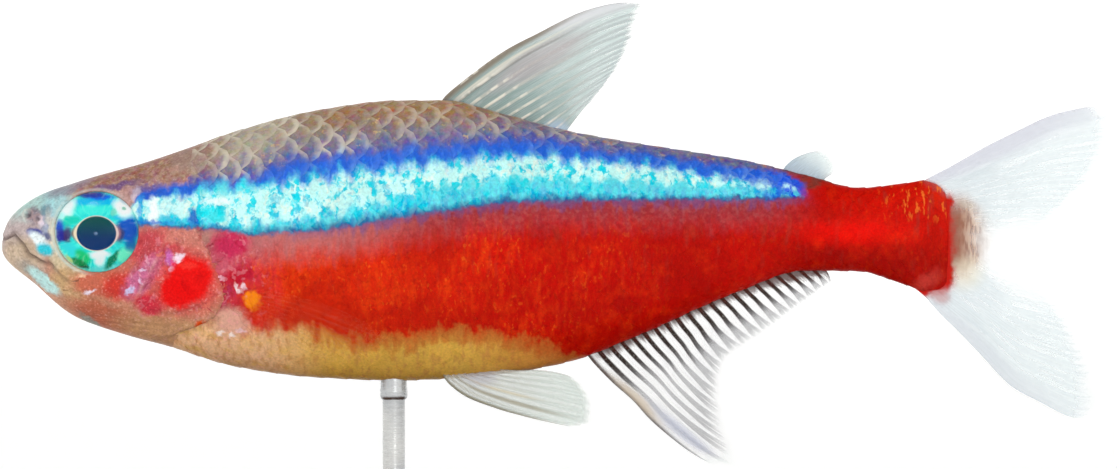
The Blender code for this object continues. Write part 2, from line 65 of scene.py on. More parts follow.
# The body at places behind the snout: back, belly, half width, widest level, fullness above it
BODY_LENGTH = 29.75
BODY_ROWS = (
    (0, -0.15, -0.16, 0.01, -0.15, 2.1),
    (0.22, 0.7, -0.6, 0.44, 0, 2.2),
    (0.97, 1.38, -1.22, 0.94, 0.05, 2.4),
    (2.45, 1.95, -2.38, 1.46, -0.05, 2.9),
    (3.9, 2.36, -2.87, 1.72, -0.15, 2.8),
    (4.96, 2.67, -3.17, 1.87, -0.15, 2.5),
    (7.47, 3.57, -3.92, 2.1, -0.1, 2.2),
    (9.98, 4.2, -4.24, 2.21, 0, 2.1),
    (12.5, 4.5, -4.33, 2.2, 0.1, 2.1),
    (13.9, 4.5, -4.28, 2.12, 0.15, 2.1),
    (15.7, 4.08, -4.12, 1.95, 0.2, 2.1),
    (17.74, 3.55, -3.76, 1.72, 0.25, 2.1),
    (20.03, 3.14, -2.89, 1.42, 0.4, 2),
    (23.17, 2.64, -1.52, 1.02, 0.6, 2),
    (25.18, 2.18, -0.88, 0.82, 0.62, 2),
    (26.93, 1.76, -0.91, 0.66, 0.42, 2),
    (28.19, 1.88, -1.27, 0.54, 0.32, 2),
    (29.1, 2, -1.55, 0.42, 0.25, 2),
    (29.5, 1.84, -1.53, 0.35, 0.22, 2),
    (29.75, 1.48, -1.32, 0.3, 0.2, 2),
)
BELLY_FULLNESS = 2.1

# Lines on the side of the body, as (x, z)
GILL_EDGE = (
    (6.02, 2.15), (6.12, 1.8), (6.17, 0.5), (6.6, -0.28), (6.98, -1.32), (7.05, -1.8),
    (6.75, -2.35), (6.1, -2.65), (5.4, -2.9), (4.6, -3.02),
)
CHEEK_RIDGE = (
    (5.36, 0.38), (5.02, -0.38), (4.71, -0.94), (4.39, -1.54), (4.2, -1.82), (4.42, -2.25),
    (4.75, -2.45),
)
COVER_SEAM = ((4.6, -2.1), (5.4, -2.22), (6.2, -2.05), (6.7, -1.72))
MOUTH_SLIT = (
    (-1, 0.13), (0.08, 0.13), (0.41, 0.27), (0.72, -0.06), (0.88, -0.35), (1.26, -0.57),
    (1.6, -0.68), (1.82, -0.86),
)
JAW_SEAM = ((1.42, -0.4), (1.7, -0.78), (2.0, -1.1), (2.3, -1.32))
LIP_FOLDS = (((0.25, 0.33), (0.5, 0.36), (0.72, 0.16)), ((0.2, -0.05), (0.48, 0.0), (0.66, -0.2)))
THROAT_FOLDS = (
    ((2.7, -2.22), (3.8, -2.45), (5, -2.62), (5.8, -2.62)),
    ((3.1, -2.45), (4.2, -2.66), (5.3, -2.8)),
)
SCALES_FROM = (
    (-4.6, 5.3), (-3.3, 5.3), (-2.9, 5.55), (-2.65, 6.15), (-2.35, 6.8), (-1.8, 7.08),
    (-1.32, 7.02), (-0.28, 6.64), (0.5, 6.2), (1.8, 5.92), (2.5, 5.8), (3.2, 5.95), (4.6, 6.3),
)

NAPE_LEVEL = 2.1

# The markings' lines, as (x, z)
STRIPE_TOP = (
    (0, 1.55), (4.33, 1.62), (5.3, 1.82), (6.15, 1.94), (7.3, 2), (8.1, 2.16), (8.6, 2.48),
    (9.35, 2.6), (10.92, 2.84), (12.49, 3.02), (14.06, 3.13), (15.63, 3.3), (17.2, 3.26),
    (18.77, 2.98), (20.34, 2.86), (21.9, 2.57), (23.5, 2.38), (24.4, 2.26), (25.2, 1.98),
    (35, 1.9),
)
STRIPE_LOW = (
    (0, 0.6), (4.33, 0.56), (6.15, 0.47), (7.78, 0.31), (9.35, 0.38), (10.92, 0.53), (12.49, 0.82),
    (14.06, 1.04), (15.63, 1.26), (17.2, 1.35), (20.34, 1.38), (23.5, 1.38), (25.2, 1.42),
    (35, 1.45),
)
RED_LOW = (
    (0, -1.4), (2.4, -1.62), (3.4, -1.98), (4.5, -2.16), (5.6, -2.16), (6.6, -2.28),
    (7.47, -2.61), (9.35, -2.66), (10.6, -2.96), (11.55, -3.12), (12.5, -3.04), (13.4, -2.86),
    (14.7, -2.9), (15.6, -3), (16.9, -3.24), (18.46, -4), (20, -5), (35, -5),
)
LINE_LOW = -8.0
LINE_SPAN = 16.0
FISH_SPAN = 35.0

SCALE_PITCH = 0.74
SKIN_SIDES = 240
SKIN_RINGS = 360
HEAD_REAR = 7.5
HEAD_RING_GAP = 0.05
BODY_RING_GAP = 0.125

EYE_ACROSS = 2.69
EYE_HIGH = 2.56
EYE_TURN = math.radians(6)
EYE_TILT = math.radians(-1)
EYE_MIDDLE = (3.09, 0.905, 0.36)
PUPIL_SHIFT = (0.03, -0.045)
DOME_RADIUS = 1.55
DOME_HIGH = 0.795
PUPIL_RADIUS = 0.595
BALL_RADIUS = 1.47
CORNEA_RADIUS = 1.4


def srgb(red, green, blue):
    """A colour given as screen values from 0 to 255, in Blender's linear values."""
    return tuple(
        value / 3294.6 if value <= 10 else ((value / 255 + 0.055) / 1.055) ** 2.4
        for value in (red, green, blue)
    )


def linear(colour):
    """A colour setting as it is, or a tuple of screen values, as a socket takes it."""
    return (*(srgb(*colour) if isinstance(colour, tuple) else colour[:3]), 1.0)


def smooth(value, low, high):
    """0 below low, 1 above high and an even swing between."""
    t = np.clip((np.asarray(value, float) - low) / (high - low), 0.0, 1.0)
    return t * t * (3.0 - 2.0 * t)


def smooth_line(places, values):
    """A curve through the values that never swings past them, as a function of the place."""
    places = np.array(places, float)
    values = np.array(values, float)
    steps = np.diff(places)
    slopes = np.diff(values) / steps
    tangents = np.zeros(len(places))
    tangents[0] = slopes[0]
    tangents[-1] = slopes[-1]
    for i in range(1, len(places) - 1):
        before, after = slopes[i - 1], slopes[i]
        if before * after > 0.0:
            near, far = 2 * steps[i] + steps[i - 1], steps[i] + 2 * steps[i - 1]
            tangents[i] = (near + far) / (near / before + far / after)

    def value_at(place):
        i = np.clip(np.searchsorted(places, place) - 1, 0, len(steps) - 1)
        t = (place - places[i]) / steps[i]
        rest = 1.0 - t
        return (
            values[i] * (1 + 2 * t) * rest * rest
            + values[i + 1] * t * t * (3 - 2 * t)
            + steps[i] * t * rest * (tangents[i] * rest - tangents[i + 1] * t)
        )

    return value_at


class Body:
    """The body's surface. Girth is 1 on the back, 0 at the widest level and -1 on the belly."""

    rows = 420
    turns = 200
    girths = 120

    def __init__(self):
        roots = [math.sqrt(row[0]) for row in BODY_ROWS]
        columns = [smooth_line(roots, [row[i] for row in BODY_ROWS]) for i in range(1, 6)]
        self.last_root = math.sqrt(BODY_LENGTH)
        self.roots = np.linspace(0.0, self.last_root, self.rows)
        back, belly, half, level, fullness = (column(self.roots)[:, None] for column in columns)
        turn = np.linspace(-math.pi / 2, math.pi / 2, 2 * self.turns + 1)[None, :]
        up = np.sin(turn)
        power = 2.0 / np.where(up > 0.0, fullness, BELLY_FULLNESS)
        reach = np.where(up > 0.0, back - level, level - belly)
        y = half * np.abs(np.cos(turn)) ** power
        z = level + reach * np.sign(up) * np.abs(up) ** power
        steps = np.hypot(np.diff(y, axis=1), np.diff(z, axis=1))
        run = np.concatenate((np.zeros((self.rows, 1)), np.cumsum(steps, axis=1)), axis=1)
        run -= run[:, self.turns:self.turns + 1]
        self.low = -run[:, 0]
        self.high = run[:, -1]
        even = np.linspace(-1.0, 1.0, 2 * self.girths + 1)
        self.y = np.zeros((self.rows, len(even)))
        self.z = np.zeros((self.rows, len(even)))
        for i in range(self.rows):
            girth = np.where(run[i] < 0.0, run[i] / self.low[i], run[i] / self.high[i])
            self.y[i] = np.interp(even, girth, y[i])
            self.z[i] = np.interp(even, girth, z[i])

    def root_of(self, x):
        return np.sqrt(np.clip(x, 0.0, BODY_LENGTH))

    def quarter(self, x, upper):
        """The way over the skin from the widest level to the back, or to the belly."""
        return np.interp(self.root_of(x), self.roots, self.high if upper else self.low)

    def points(self, x, girth):
        """Points on the right side. A girth past 1 or -1 runs over the middle to the other side."""
        over = np.abs(girth) > 1.0
        girth = np.where(over, np.sign(girth) * 2.0 - girth, girth)
        row = self.root_of(x) / self.last_root * (self.rows - 1)
        column = (girth + 1.0) * self.girths
        i = np.clip(row.astype(int), 0, self.rows - 2)
        j = np.clip(column.astype(int), 0, 2 * self.girths - 1)
        a = row - i
        b = column - j
        found = []
        for table in (self.y, self.z):
            front = table[i, j] * (1 - b) + table[i, j + 1] * b
            rear = table[i + 1, j] * (1 - b) + table[i + 1, j + 1] * b
            found.append(front * (1 - a) + rear * a)
        y, z = found
        return np.stack((x, np.where(over, -y, y), z), axis=-1)

    def normals(self, x, girth):
        x = np.clip(x, 0.04, BODY_LENGTH - 0.04)
        along = self.points(x + 0.03, girth) - self.points(x - 0.03, girth)
        around = self.points(x, girth + 0.015) - self.points(x, girth - 0.015)
        normal = np.cross(around, along)
        return normal / np.linalg.norm(normal, axis=-1, keepdims=True)


BODY = Body()


def line_distance(line, x, z):
    """For points on the side: how far from the line, on which side of it, and how far along it."""
    best = np.full(x.shape, 1e9)
    side = np.zeros(x.shape)
    along = np.zeros(x.shape)
    travelled = 0.0
    for (x0, z0), (x1, z1) in zip(line, line[1:]):
        dx, dz = x1 - x0, z1 - z0
        length = math.hypot(dx, dz)
        t = np.clip(((x - x0) * dx + (z - z0) * dz) / length ** 2, 0.0, 1.0)
        away = np.hypot(x - x0 - t * dx, z - z0 - t * dz)
        nearer = away < best
        best = np.where(nearer, away, best)
        side = np.where(nearer, np.sign(dx * (z - z0) - dz * (x - x0)), side)
        along = np.where(nearer, travelled + t * length, along)
        travelled += length
    return best, side, along / travelled


def hill(value, width):
    return np.exp(-((value / width) ** 2))


def mound(x, z, middle, across, high):
    return hill(np.hypot((x - middle[0]) / across, (z - middle[1]) / high), 1.0)


def fade_ends(along, first, last):
    return smooth(along, 0.0, first) * (1.0 - smooth(along, 1.0 - last, 1.0))


def gill_relief(x, z):
    """The gill cover's rear edge stands over a narrow hollow, and the pectoral fin's base swells."""
    away, side, along = line_distance(GILL_EDGE, x, z)
    behind = smooth(away * side, -0.035, 0.035)
    step = 0.045 * np.exp(-away / 0.4) * (1.0 - behind) - 0.11 * np.exp(-away / 0.28) * behind
    base = 0.09 * mound(x, z, (7.78, -1.8), 0.34, 0.42)
    return step * fade_ends(along, 0.1, 0.22) + base


def scales_start(z):
    rows = np.array(SCALES_FROM)
    return np.interp(z, rows[:, 0], rows[:, 1])


def scaled_share(x, z, upper_run=0.6):
    """1 where scales cover the skin and 0 on the naked head."""
    run = np.where(z > NAPE_LEVEL, upper_run, 0.12)
    return smooth((x - scales_start(z)) / run, 0.0, 1.0)


def end_thinning(x):
    """How much of its width the body keeps towards the tail fin."""
    return 1.0 - 0.8 * smooth(x, 28.6, BODY_LENGTH)


class Groove:
    """A groove in the naked head: its line, the shares of it that fade at both ends, how deep and
    wide it is, how dark and wide the shade painted along it is, and a lip beside it."""

    def __init__(self, line, first, last, deep, wide, shade=0.0, shade_wide=0.04, lip=(0.0, 0.0, 1.0)):
        self.line, self.first, self.last = line, first, last
        self.deep, self.wide, self.shade, self.shade_wide = deep, wide, shade, shade_wide
        self.lip, self.lip_away, self.lip_wide = lip


GROOVES = (
    Groove(MOUTH_SLIT, 1e-9, 0.18, 0.13, 0.06, 0.85, 0.05, (0.045, 0.13, 0.075)),
    *(Groove(fold, 0.2, 0.3, 0.03, 0.05, 0.35, 0.045) for fold in LIP_FOLDS),
    Groove(JAW_SEAM, 0.15, 0.25, 0.055, 0.05, 0.6, 0.04, (0.02, 0.12, 0.07)),
    Groove(COVER_SEAM, 0.15, 0.15, 0.04, 0.055, 0.2, 0.04),
    *(Groove(fold, 0.2, 0.2, 0.03, 0.05) for fold in THROAT_FOLDS),
)


def eye_bone_seams():
    """Three small bones round the lower rear of the eye meet at shallow seams."""
    seams = []
    for turn in (-35, -75, -118):
        a = math.radians(turn)
        seam = (
            (EYE_PLACE[0] + 1.48 * math.cos(a), EYE_PLACE[1] + 1.42 * math.sin(a)),
            (EYE_PLACE[0] + 2.1 * math.cos(a), EYE_PLACE[1] + 2.05 * math.sin(a)),
        )
        seams.append(Groove(seam, 0.2, 0.3, 0.022, 0.045))
    return tuple(seams)


def head_relief(x, z):
    """Folds, seams and pits of the naked head, with how pale each makes the skin and how dark the shade
    painted into them is.
    """
    relief = np.zeros(x.shape)
    pale = np.zeros(x.shape)
    dark = np.zeros(x.shape)

    for groove in GROOVES + eye_bone_seams():
        away, side, along = line_distance(groove.line, x, z)
        ends = fade_ends(along, groove.first, groove.last)
        relief -= groove.deep * hill(away, groove.wide) * ends
        relief += groove.lip * hill(away - groove.lip_away, groove.lip_wide) * ends
        # Painted shade along the groove
        dark += groove.shade * hill(away, groove.shade_wide) * ends

    lean = math.radians(-52)
    down = (x - 1.16) * math.cos(lean) + (z - 0.06) * math.sin(lean)
    out = -(x - 1.16) * math.sin(lean) + (z - 0.06) * math.cos(lean)
    plate = np.hypot(down / 0.5, out / 0.24)
    relief += 0.04 * (1.0 - smooth(plate, 0.8, 1.05)) - 0.03 * hill(plate - 1.15, 0.16)

    for middle, deep, radius in (((0.87, 0.9), 0.11, 0.085), ((1.2, 0.77), 0.07, 0.07)):
        away = np.hypot(x - middle[0], z - middle[1])
        relief -= deep * hill(away, radius)
        relief += 0.035 * hill(away - 1.8 * radius, 0.6 * radius)
        # Painted shade in the pit
        dark += 0.75 * hill(away, radius)
        pale += 0.35 * hill(away - 1.8 * radius, 0.5 * radius)

    away, side, along = line_distance(CHEEK_RIDGE, x, z)
    ends = fade_ends(along, 0.18, 0.1)
    relief += (0.035 * hill(away, 0.06) - 0.045 * hill(away * side - 0.15, 0.08)) * ends
    pale += 0.5 * hill(away, 0.055) * ends * (0.55 + 0.45 * np.sin(along * 23.0))

    return relief, np.clip(pale, 0.0, 1.0), np.clip(dark, 0.0, 1.0)


def eye_axes():
    """The right eye's middle, and its directions along the head, up it and out of it."""
    turned = Matrix.Rotation(EYE_TURN, 3, "Z") @ Matrix.Rotation(EYE_TILT, 3, "X")
    return np.array(EYE_MIDDLE), np.array(turned.col[0]), np.array(turned.col[2]), np.array(turned.col[1])


def dome(radius):
    """How far the clear front of the eye stands out at a distance from its middle."""
    return DOME_HIGH * np.sqrt(np.clip(1.0 - (radius / DOME_RADIUS) ** 2, 0.0, 1.0))


def set_round_eye(points):
    """Draws the skin of the right side in round the eye. Gives the points and the pale rim's share."""
    middle, along, up, out = eye_axes()
    from_eye = points - middle
    level = from_eye @ along / (EYE_ACROSS / 2)
    upright = from_eye @ up / (EYE_HIGH / 2)
    reach = np.hypot(level, upright)
    reach = np.where(points[:, 1] > 0.15, reach, 9.0)
    rim = dome(EYE_ACROSS / 2) + 0.045
    aim = rim - 0.06 * np.clip(reach - 1.0, 0.0, None) + 0.03 * hill(reach - 1.05, 0.035)
    aim -= 0.42 * smooth(1.0 - reach, 0.0, 0.09)
    share = 1.0 - smooth(reach, 1.04, 1.42)
    moved = points + out * ((aim - from_eye @ out) * share)[:, None]
    paler = smooth(-0.9 * level - 0.35 * upright, 0.3, 0.85) + 0.55 * smooth(upright, 0.7, 0.95)
    return moved, hill(reach - 1.035, 0.032) * np.clip(paler, 0.0, 1.0)


def read_points(mesh):
    flat = np.zeros(len(mesh.vertices) * 3, np.float32)
    mesh.vertices.foreach_get("co", flat)
    return flat.reshape(-1, 3).astype(float)


def write_points(mesh, points):
    mesh.vertices.foreach_set("co", np.asarray(points, np.float32).ravel())
    mesh.update()


def in_frame(points):
    """Points in the fish's own measures, in the frame's metres."""
    return (points + np.array((SNOUT_X, 0.0, MOUTH_LEVEL))) * MM


def add_numbers(mesh, name, values):
    layer = mesh.attributes.new(name, "FLOAT", "POINT")
    layer.data.foreach_set("value", np.asarray(values, np.float32))


def deselect_all():
    bpy.ops.object.select_all(action="DESELECT")


def select_only(piece):
    deselect_all()
    bpy.context.view_layer.objects.active = piece
    piece.select_set(True)


def start_piece(primitive, name, **settings):
    """Adds a primitive with nothing else selected and gives its object."""
    deselect_all()
    primitive(**settings)
    piece = bpy.context.object
    piece.name = name
    piece.data.name = name
    return piece


def start_ball(name, sides, rings):
    return start_piece(
        bpy.ops.mesh.primitive_uv_sphere_add, name, segments=sides, ring_count=rings, radius=1.0,
        location=(0.0, 0.0, 0.0),
    )


def finish_piece(piece, material, slot, *nodes):
    piece.data.materials.clear()
    piece.data.materials.append(material)
    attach(piece, "root")
    if nodes:
        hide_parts(*nodes)


def shade_smooth(piece):
    piece.data.polygons.foreach_set("use_smooth", np.ones(len(piece.data.polygons), bool))
    piece.data.update()


def apply_modifier(piece, kind, name, **settings):
    """Adds a modifier, gives it its settings and applies it."""
    modifier = piece.modifiers.new(name, kind)
    for key, value in settings.items():
        setattr(modifier, key, value)
    select_only(piece)
    bpy.ops.object.modifier_apply(modifier=name)


def mirrored_copy(piece, name):
    """A copy for the fish's other side, with a mesh of its own whose faces point outwards."""
    copy = piece.copy()
    copy.data = piece.data.copy()
    copy.name = name
    copy.data.name = name
    bpy.context.collection.objects.link(copy)
    points = read_points(copy.data)
    points[:, 1] *= -1.0
    write_points(copy.data, points)
    copy.data.flip_normals()
    return copy


class Graph:
    """Adds nodes to one tree and joins them. A value is a number, a colour or a node's socket."""

    def __init__(self, tree):
        self.tree = tree

    def add(self, kind, settings, values, output=0):
        node = self.tree.nodes.new(kind)
        for name, setting in settings.items():
            setattr(node, name, setting)
        for place, value in values.items():
            socket = node.inputs[place]
            if isinstance(value, bpy.types.NodeSocket):
                self.tree.links.new(value, socket)
            elif socket.type == "RGBA":
                socket.default_value = linear(value)
            else:
                socket.default_value = value
        return node.outputs[output]

    def math(self, operation, first, second=0.0, third=0.0):
        return self.add("ShaderNodeMath", {"operation": operation}, {0: first, 1: second, 2: third})

    def plus(self, first, second):
        return self.math("ADD", first, second)

    def minus(self, first, second):
        return self.math("SUBTRACT", first, second)

    def times(self, first, second):
        return self.math("MULTIPLY", first, second)

    def greater(self, first, second):
        return self.math("MAXIMUM", first, second)

    def about(self, noise, span):
        """A noise from 0 to 1 as a shift to both sides of nothing."""
        return self.times(self.minus(noise, 0.5), span)

    def vector(self, operation, first, second, third=(0.0, 0.0, 0.0), output=0):
        values = {0: first, 1: second, 2: third}
        return self.add("ShaderNodeVectorMath", {"operation": operation}, values, output)

    def mix(self, share, first, second, blend="MIX"):
        settings = {"data_type": "RGBA", "blend_type": blend, "clamp_result": blend != "MIX"}
        return self.add("ShaderNodeMix", settings, {0: share, 6: first, 7: second}, 2)

    def lay(self, under, colour, share, strength):
        """A thin layer of colour over what is under it."""
        return self.mix(self.times(share, strength), under, colour)

    def swing(self, value, low, high, first=0.0, last=1.0):
        """first below low, last above high, and smooth between."""
        settings = {"interpolation_type": "SMOOTHSTEP"}
        return self.add("ShaderNodeMapRange", settings, {0: value, 1: low, 2: high, 3: first, 4: last})

    def noise(self, place, scale, detail=2.0, output=0, roughness=0.5):
        values = {"Vector": place, "Scale": scale, "Detail": detail, "Roughness": roughness}
        return self.add("ShaderNodeTexNoise", {}, values, output)

    def drift(self, place, scale, detail, across, high):
        """A small shift on the fish's side that wanders from place to place."""
        split = self.tree.nodes.new("ShaderNodeSeparateColor")
        self.tree.links.new(self.noise(place, scale, detail, 1), split.inputs[0])
        level = self.math("MULTIPLY_ADD", split.outputs[0], across, -across / 2)
        upright = self.math("MULTIPLY_ADD", split.outputs[2], high, -high / 2)
        return self.joined(level, 0.0, upright)

    def cell_edges(self, place, scale):
        """How far the nearest edge between irregular cells is."""
        values = {"Vector": place, "Scale": scale}
        return self.add("ShaderNodeTexVoronoi", {"feature": "DISTANCE_TO_EDGE"}, values, "Distance")

    def number(self, name):
        return self.add("ShaderNodeAttribute", {"attribute_name": name}, {}, "Fac")

    def stretched(self, place, factors):
        return self.vector("MULTIPLY", place, factors)

    def parts(self, place):
        split = self.tree.nodes.new("ShaderNodeSeparateXYZ")
        self.tree.links.new(place, split.inputs[0])
        return tuple(split.outputs)

    def joined(self, x, y, z):
        return self.add("ShaderNodeCombineXYZ", {}, {0: x, 1: y, 2: z})

    def millimetres(self):
        """Where a point is in the frame, in millimetres."""
        seen = self.add("ShaderNodeTexCoord", {}, {}, "Object")
        return self.stretched(seen, (1 / MM, 1 / MM, 1 / MM))

    def fish_place(self):
        """Where a point is in the fish's own measures, in millimetres."""
        return self.vector("ADD", self.millimetres(), (-SNOUT_X, 0.0, -MOUTH_LEVEL))

    def bump(self, strength, depth, height):
        """Fine relief on a surface, its depth in millimetres."""
        values = {"Strength": strength, "Distance": depth * MM, "Height": height}
        return self.add("ShaderNodeBump", {}, values)

    def line(self, x, points):
        """The height of a line on the fish's side at x."""
        node = self.tree.nodes.new("ShaderNodeFloatCurve")
        curve = node.mapping.curves[0]
        spots = [(px / FISH_SPAN, (pz - LINE_LOW) / LINE_SPAN) for px, pz in points]
        curve.points[0].location = spots[0]
        curve.points[-1].location = spots[-1]
        for spot in spots[1:-1]:
            curve.points.new(*spot)
        node.mapping.update()
        self.tree.links.new(self.times(x, 1 / FISH_SPAN), node.inputs["Value"])
        return self.math("MULTIPLY_ADD", node.outputs[0], LINE_SPAN, LINE_LOW)

    def blend_along(self, value, stops):
        """A colour that changes along a value from 0 to 1."""
        node = self.tree.nodes.new("ShaderNodeValToRGB")
        ramp = node.color_ramp
        ramp.elements[0].position = stops[0][0]
        ramp.elements[1].position = stops[-1][0]
        for place, _ in stops[1:-1]:
            ramp.elements.new(place)
        for element, (_, colour) in zip(ramp.elements, stops):
            element.color = linear(colour)
        self.tree.links.new(value, node.inputs[0])
        return node.outputs[0]

    def leaned(self, flat, lean):
        """A place on the side measured along and across a line that leans by some degrees."""
        if lean == 0:
            return flat
        a = math.radians(lean)
        level = self.vector("DOT_PRODUCT", flat, (math.cos(a), 0.0, math.sin(a)), output="Value")
        upright = self.vector("DOT_PRODUCT", flat, (-math.sin(a), 0.0, math.cos(a)), output="Value")
        return self.joined(level, 0.0, upright)

    def ovals(self, flat, patches):
        """The share of each soft oval: colour, middle, half length, half height, lean in degrees,
        softness and strength. On a fin the cover follows."""
        turned = {}
        for colour, middle, across, high, lean, soft, strength, *cover in patches:
            if lean not in turned:
                turned[lean] = self.leaned(flat, lean)
            a = math.radians(lean)
            level = middle[0] * math.cos(a) + middle[1] * math.sin(a)
            upright = middle[1] * math.cos(a) - middle[0] * math.sin(a)
            shrink = (1 / across, 0.0, 1 / high)
            shift = (-level / across, 0.0, -upright / high)
            spot = self.vector("MULTIPLY_ADD", turned[lean], shrink, shift)
            reach = self.vector("LENGTH", spot, (0.0, 0.0, 0.0), output="Value")
            yield self.swing(reach, 1.0 - soft, 1.0 + soft, strength, 0.0), colour, cover

    def paint(self, flat, under, patches):
        for share, colour, cover in self.ovals(flat, patches):
            under = self.mix(share, under, colour)
        return under

    def tint(self, flat, under, covered, patches):
        """Lays ovals over a fin's colour and gives its cover there."""
        for share, colour, cover in self.ovals(flat, patches):
            under = self.mix(share, under, colour)
            covered = self.mix_number(share, covered, cover[0])
        return under, covered

    def mix_number(self, share, first, second):
        return self.add("ShaderNodeMix", {"data_type": "FLOAT"}, {0: share, 2: first, 3: second})


def new_material(name):
    material = bpy.data.materials.new(name)
    material.use_nodes = True
    tree = material.node_tree
    return material, tree.nodes["Principled BSDF"], Graph(tree)


def finish_look(g, shader, colour, roughness, bump=None, **values):
    """Joins a material's colour, roughness and relief to its shader and sets its plain values."""
    for name, socket in (("Base Color", colour), ("Roughness", roughness), ("Normal", bump)):
        if socket is not None:
            g.tree.links.new(socket, shader.inputs[name])
    for name, value in values.items():
        shader.inputs[name.replace("_", " ")].default_value = value


def colour_setting(name, description, red, green, blue):
    return bpy.props.FloatVectorProperty(
        name=name, description=description, subtype="COLOR", size=3, min=0.0, max=1.0,
        default=srgb(red, green, blue),
    )


def length_setting(name, description, millimetres, least=0.0):
    return bpy.props.FloatProperty(
        name=name, description=description, subtype="DISTANCE", unit="LENGTH", min=least,
        default=millimetres * MM, precision=6,
    )


def power_setting(name, description, watts):
    return bpy.props.FloatProperty(
        name=name, description=description, subtype="POWER", unit="POWER", default=watts, min=0.0
    )


def plain_setting(name, description, value, least=0.0):
    return bpy.props.FloatProperty(name=name, description=description, default=value, min=least)


class TetraSizes(bpy.types.PropertyGroup):
    coat_depth: length_setting("Coat depth", "How far the skin lies below the scales' outer face", 0.06)
    scale_pitch: length_setting("Scale pitch", "From one scale to the next along a row", SCALE_PITCH)
    scale_row_gap: length_setting("Row gap", "From one row of scales to the next", 0.52)
    scale_thickness: length_setting("Scale thickness", "How thick a scale is", 0.014)
    scale_lift: length_setting("Scale lift", "How much a scale's rear edge stands over its root", 0.034)
    fin_web: length_setting("Fin web", "How thick a fin is between its rays", 0.035)
    fin_ray: length_setting("Fin ray", "How thick a fin's rays are at their root", 0.17)


class TetraColours(bpy.types.PropertyGroup):
    blue: colour_setting("Deep blue", "Upper part of the stripe", 38, 98, 212)
    navy: colour_setting("Navy", "Thin lower edge of the stripe", 24, 44, 132)
    cyan: colour_setting("Cyan", "Core of the stripe", 14, 212, 228)
    mint: colour_setting("Mint white", "Bright flecks in the stripe", 202, 250, 244)
    mauve: colour_setting("Mauve", "Band under the stripe", 148, 56, 66)
    magenta: colour_setting("Magenta", "Behind the gill cover", 192, 56, 96)
    red_front: colour_setting("Orange red", "Front of the flank", 222, 46, 8)
    red: colour_setting("Red", "Middle of the flank", 204, 14, 3)
    red_rear: colour_setting("Deep red", "Towards the tail", 164, 6, 1)
    orange: colour_setting("Orange", "Flecks in the red", 238, 104, 26)
    gold: colour_setting("Gold", "Belly under the red", 222, 174, 76)
    tan: colour_setting("Tan", "Breast and throat", 240, 190, 146)
    back: colour_setting("Back brown", "Upper flank", 146, 130, 120)
    back_top: colour_setting("Back orange", "Along the top of the back", 168, 122, 86)
    back_grey: colour_setting("Back grey", "Pale scales behind the nape", 178, 168, 150)
    back_mauve: colour_setting("Back mauve", "Just above the blue", 124, 118, 146)
    crown: colour_setting("Crown", "Top of the head", 164, 114, 98)
    wood: colour_setting("Wood", "The stand's base", 74, 46, 30)


class TetraStudio(bpy.types.PropertyGroup):
    distance: length_setting("Camera distance", "From the camera to the fish's middle plane", 243.5)
    lens: plain_setting("Lens", "The camera's focal length in millimetres", 250.0, 10.0)
    camera_x: length_setting("Camera X", "The camera's place along the fish", -0.03, -1.0)
    camera_z: length_setting("Camera height", "The camera's height over the floor", 11.84)
    key: power_setting("Key light", "Power of the main light", 0.36)
    fill: power_setting("Fill light", "Power of the light by the camera", 0.12)
    ceiling: power_setting("Ceiling lights", "Power of each light over the backdrop", 1.1)
    glow: plain_setting("Paper glow", "Light that comes through the backdrop", 0.36)
    sky: plain_setting("Sky", "Brightness of the light from all round", 0.36)


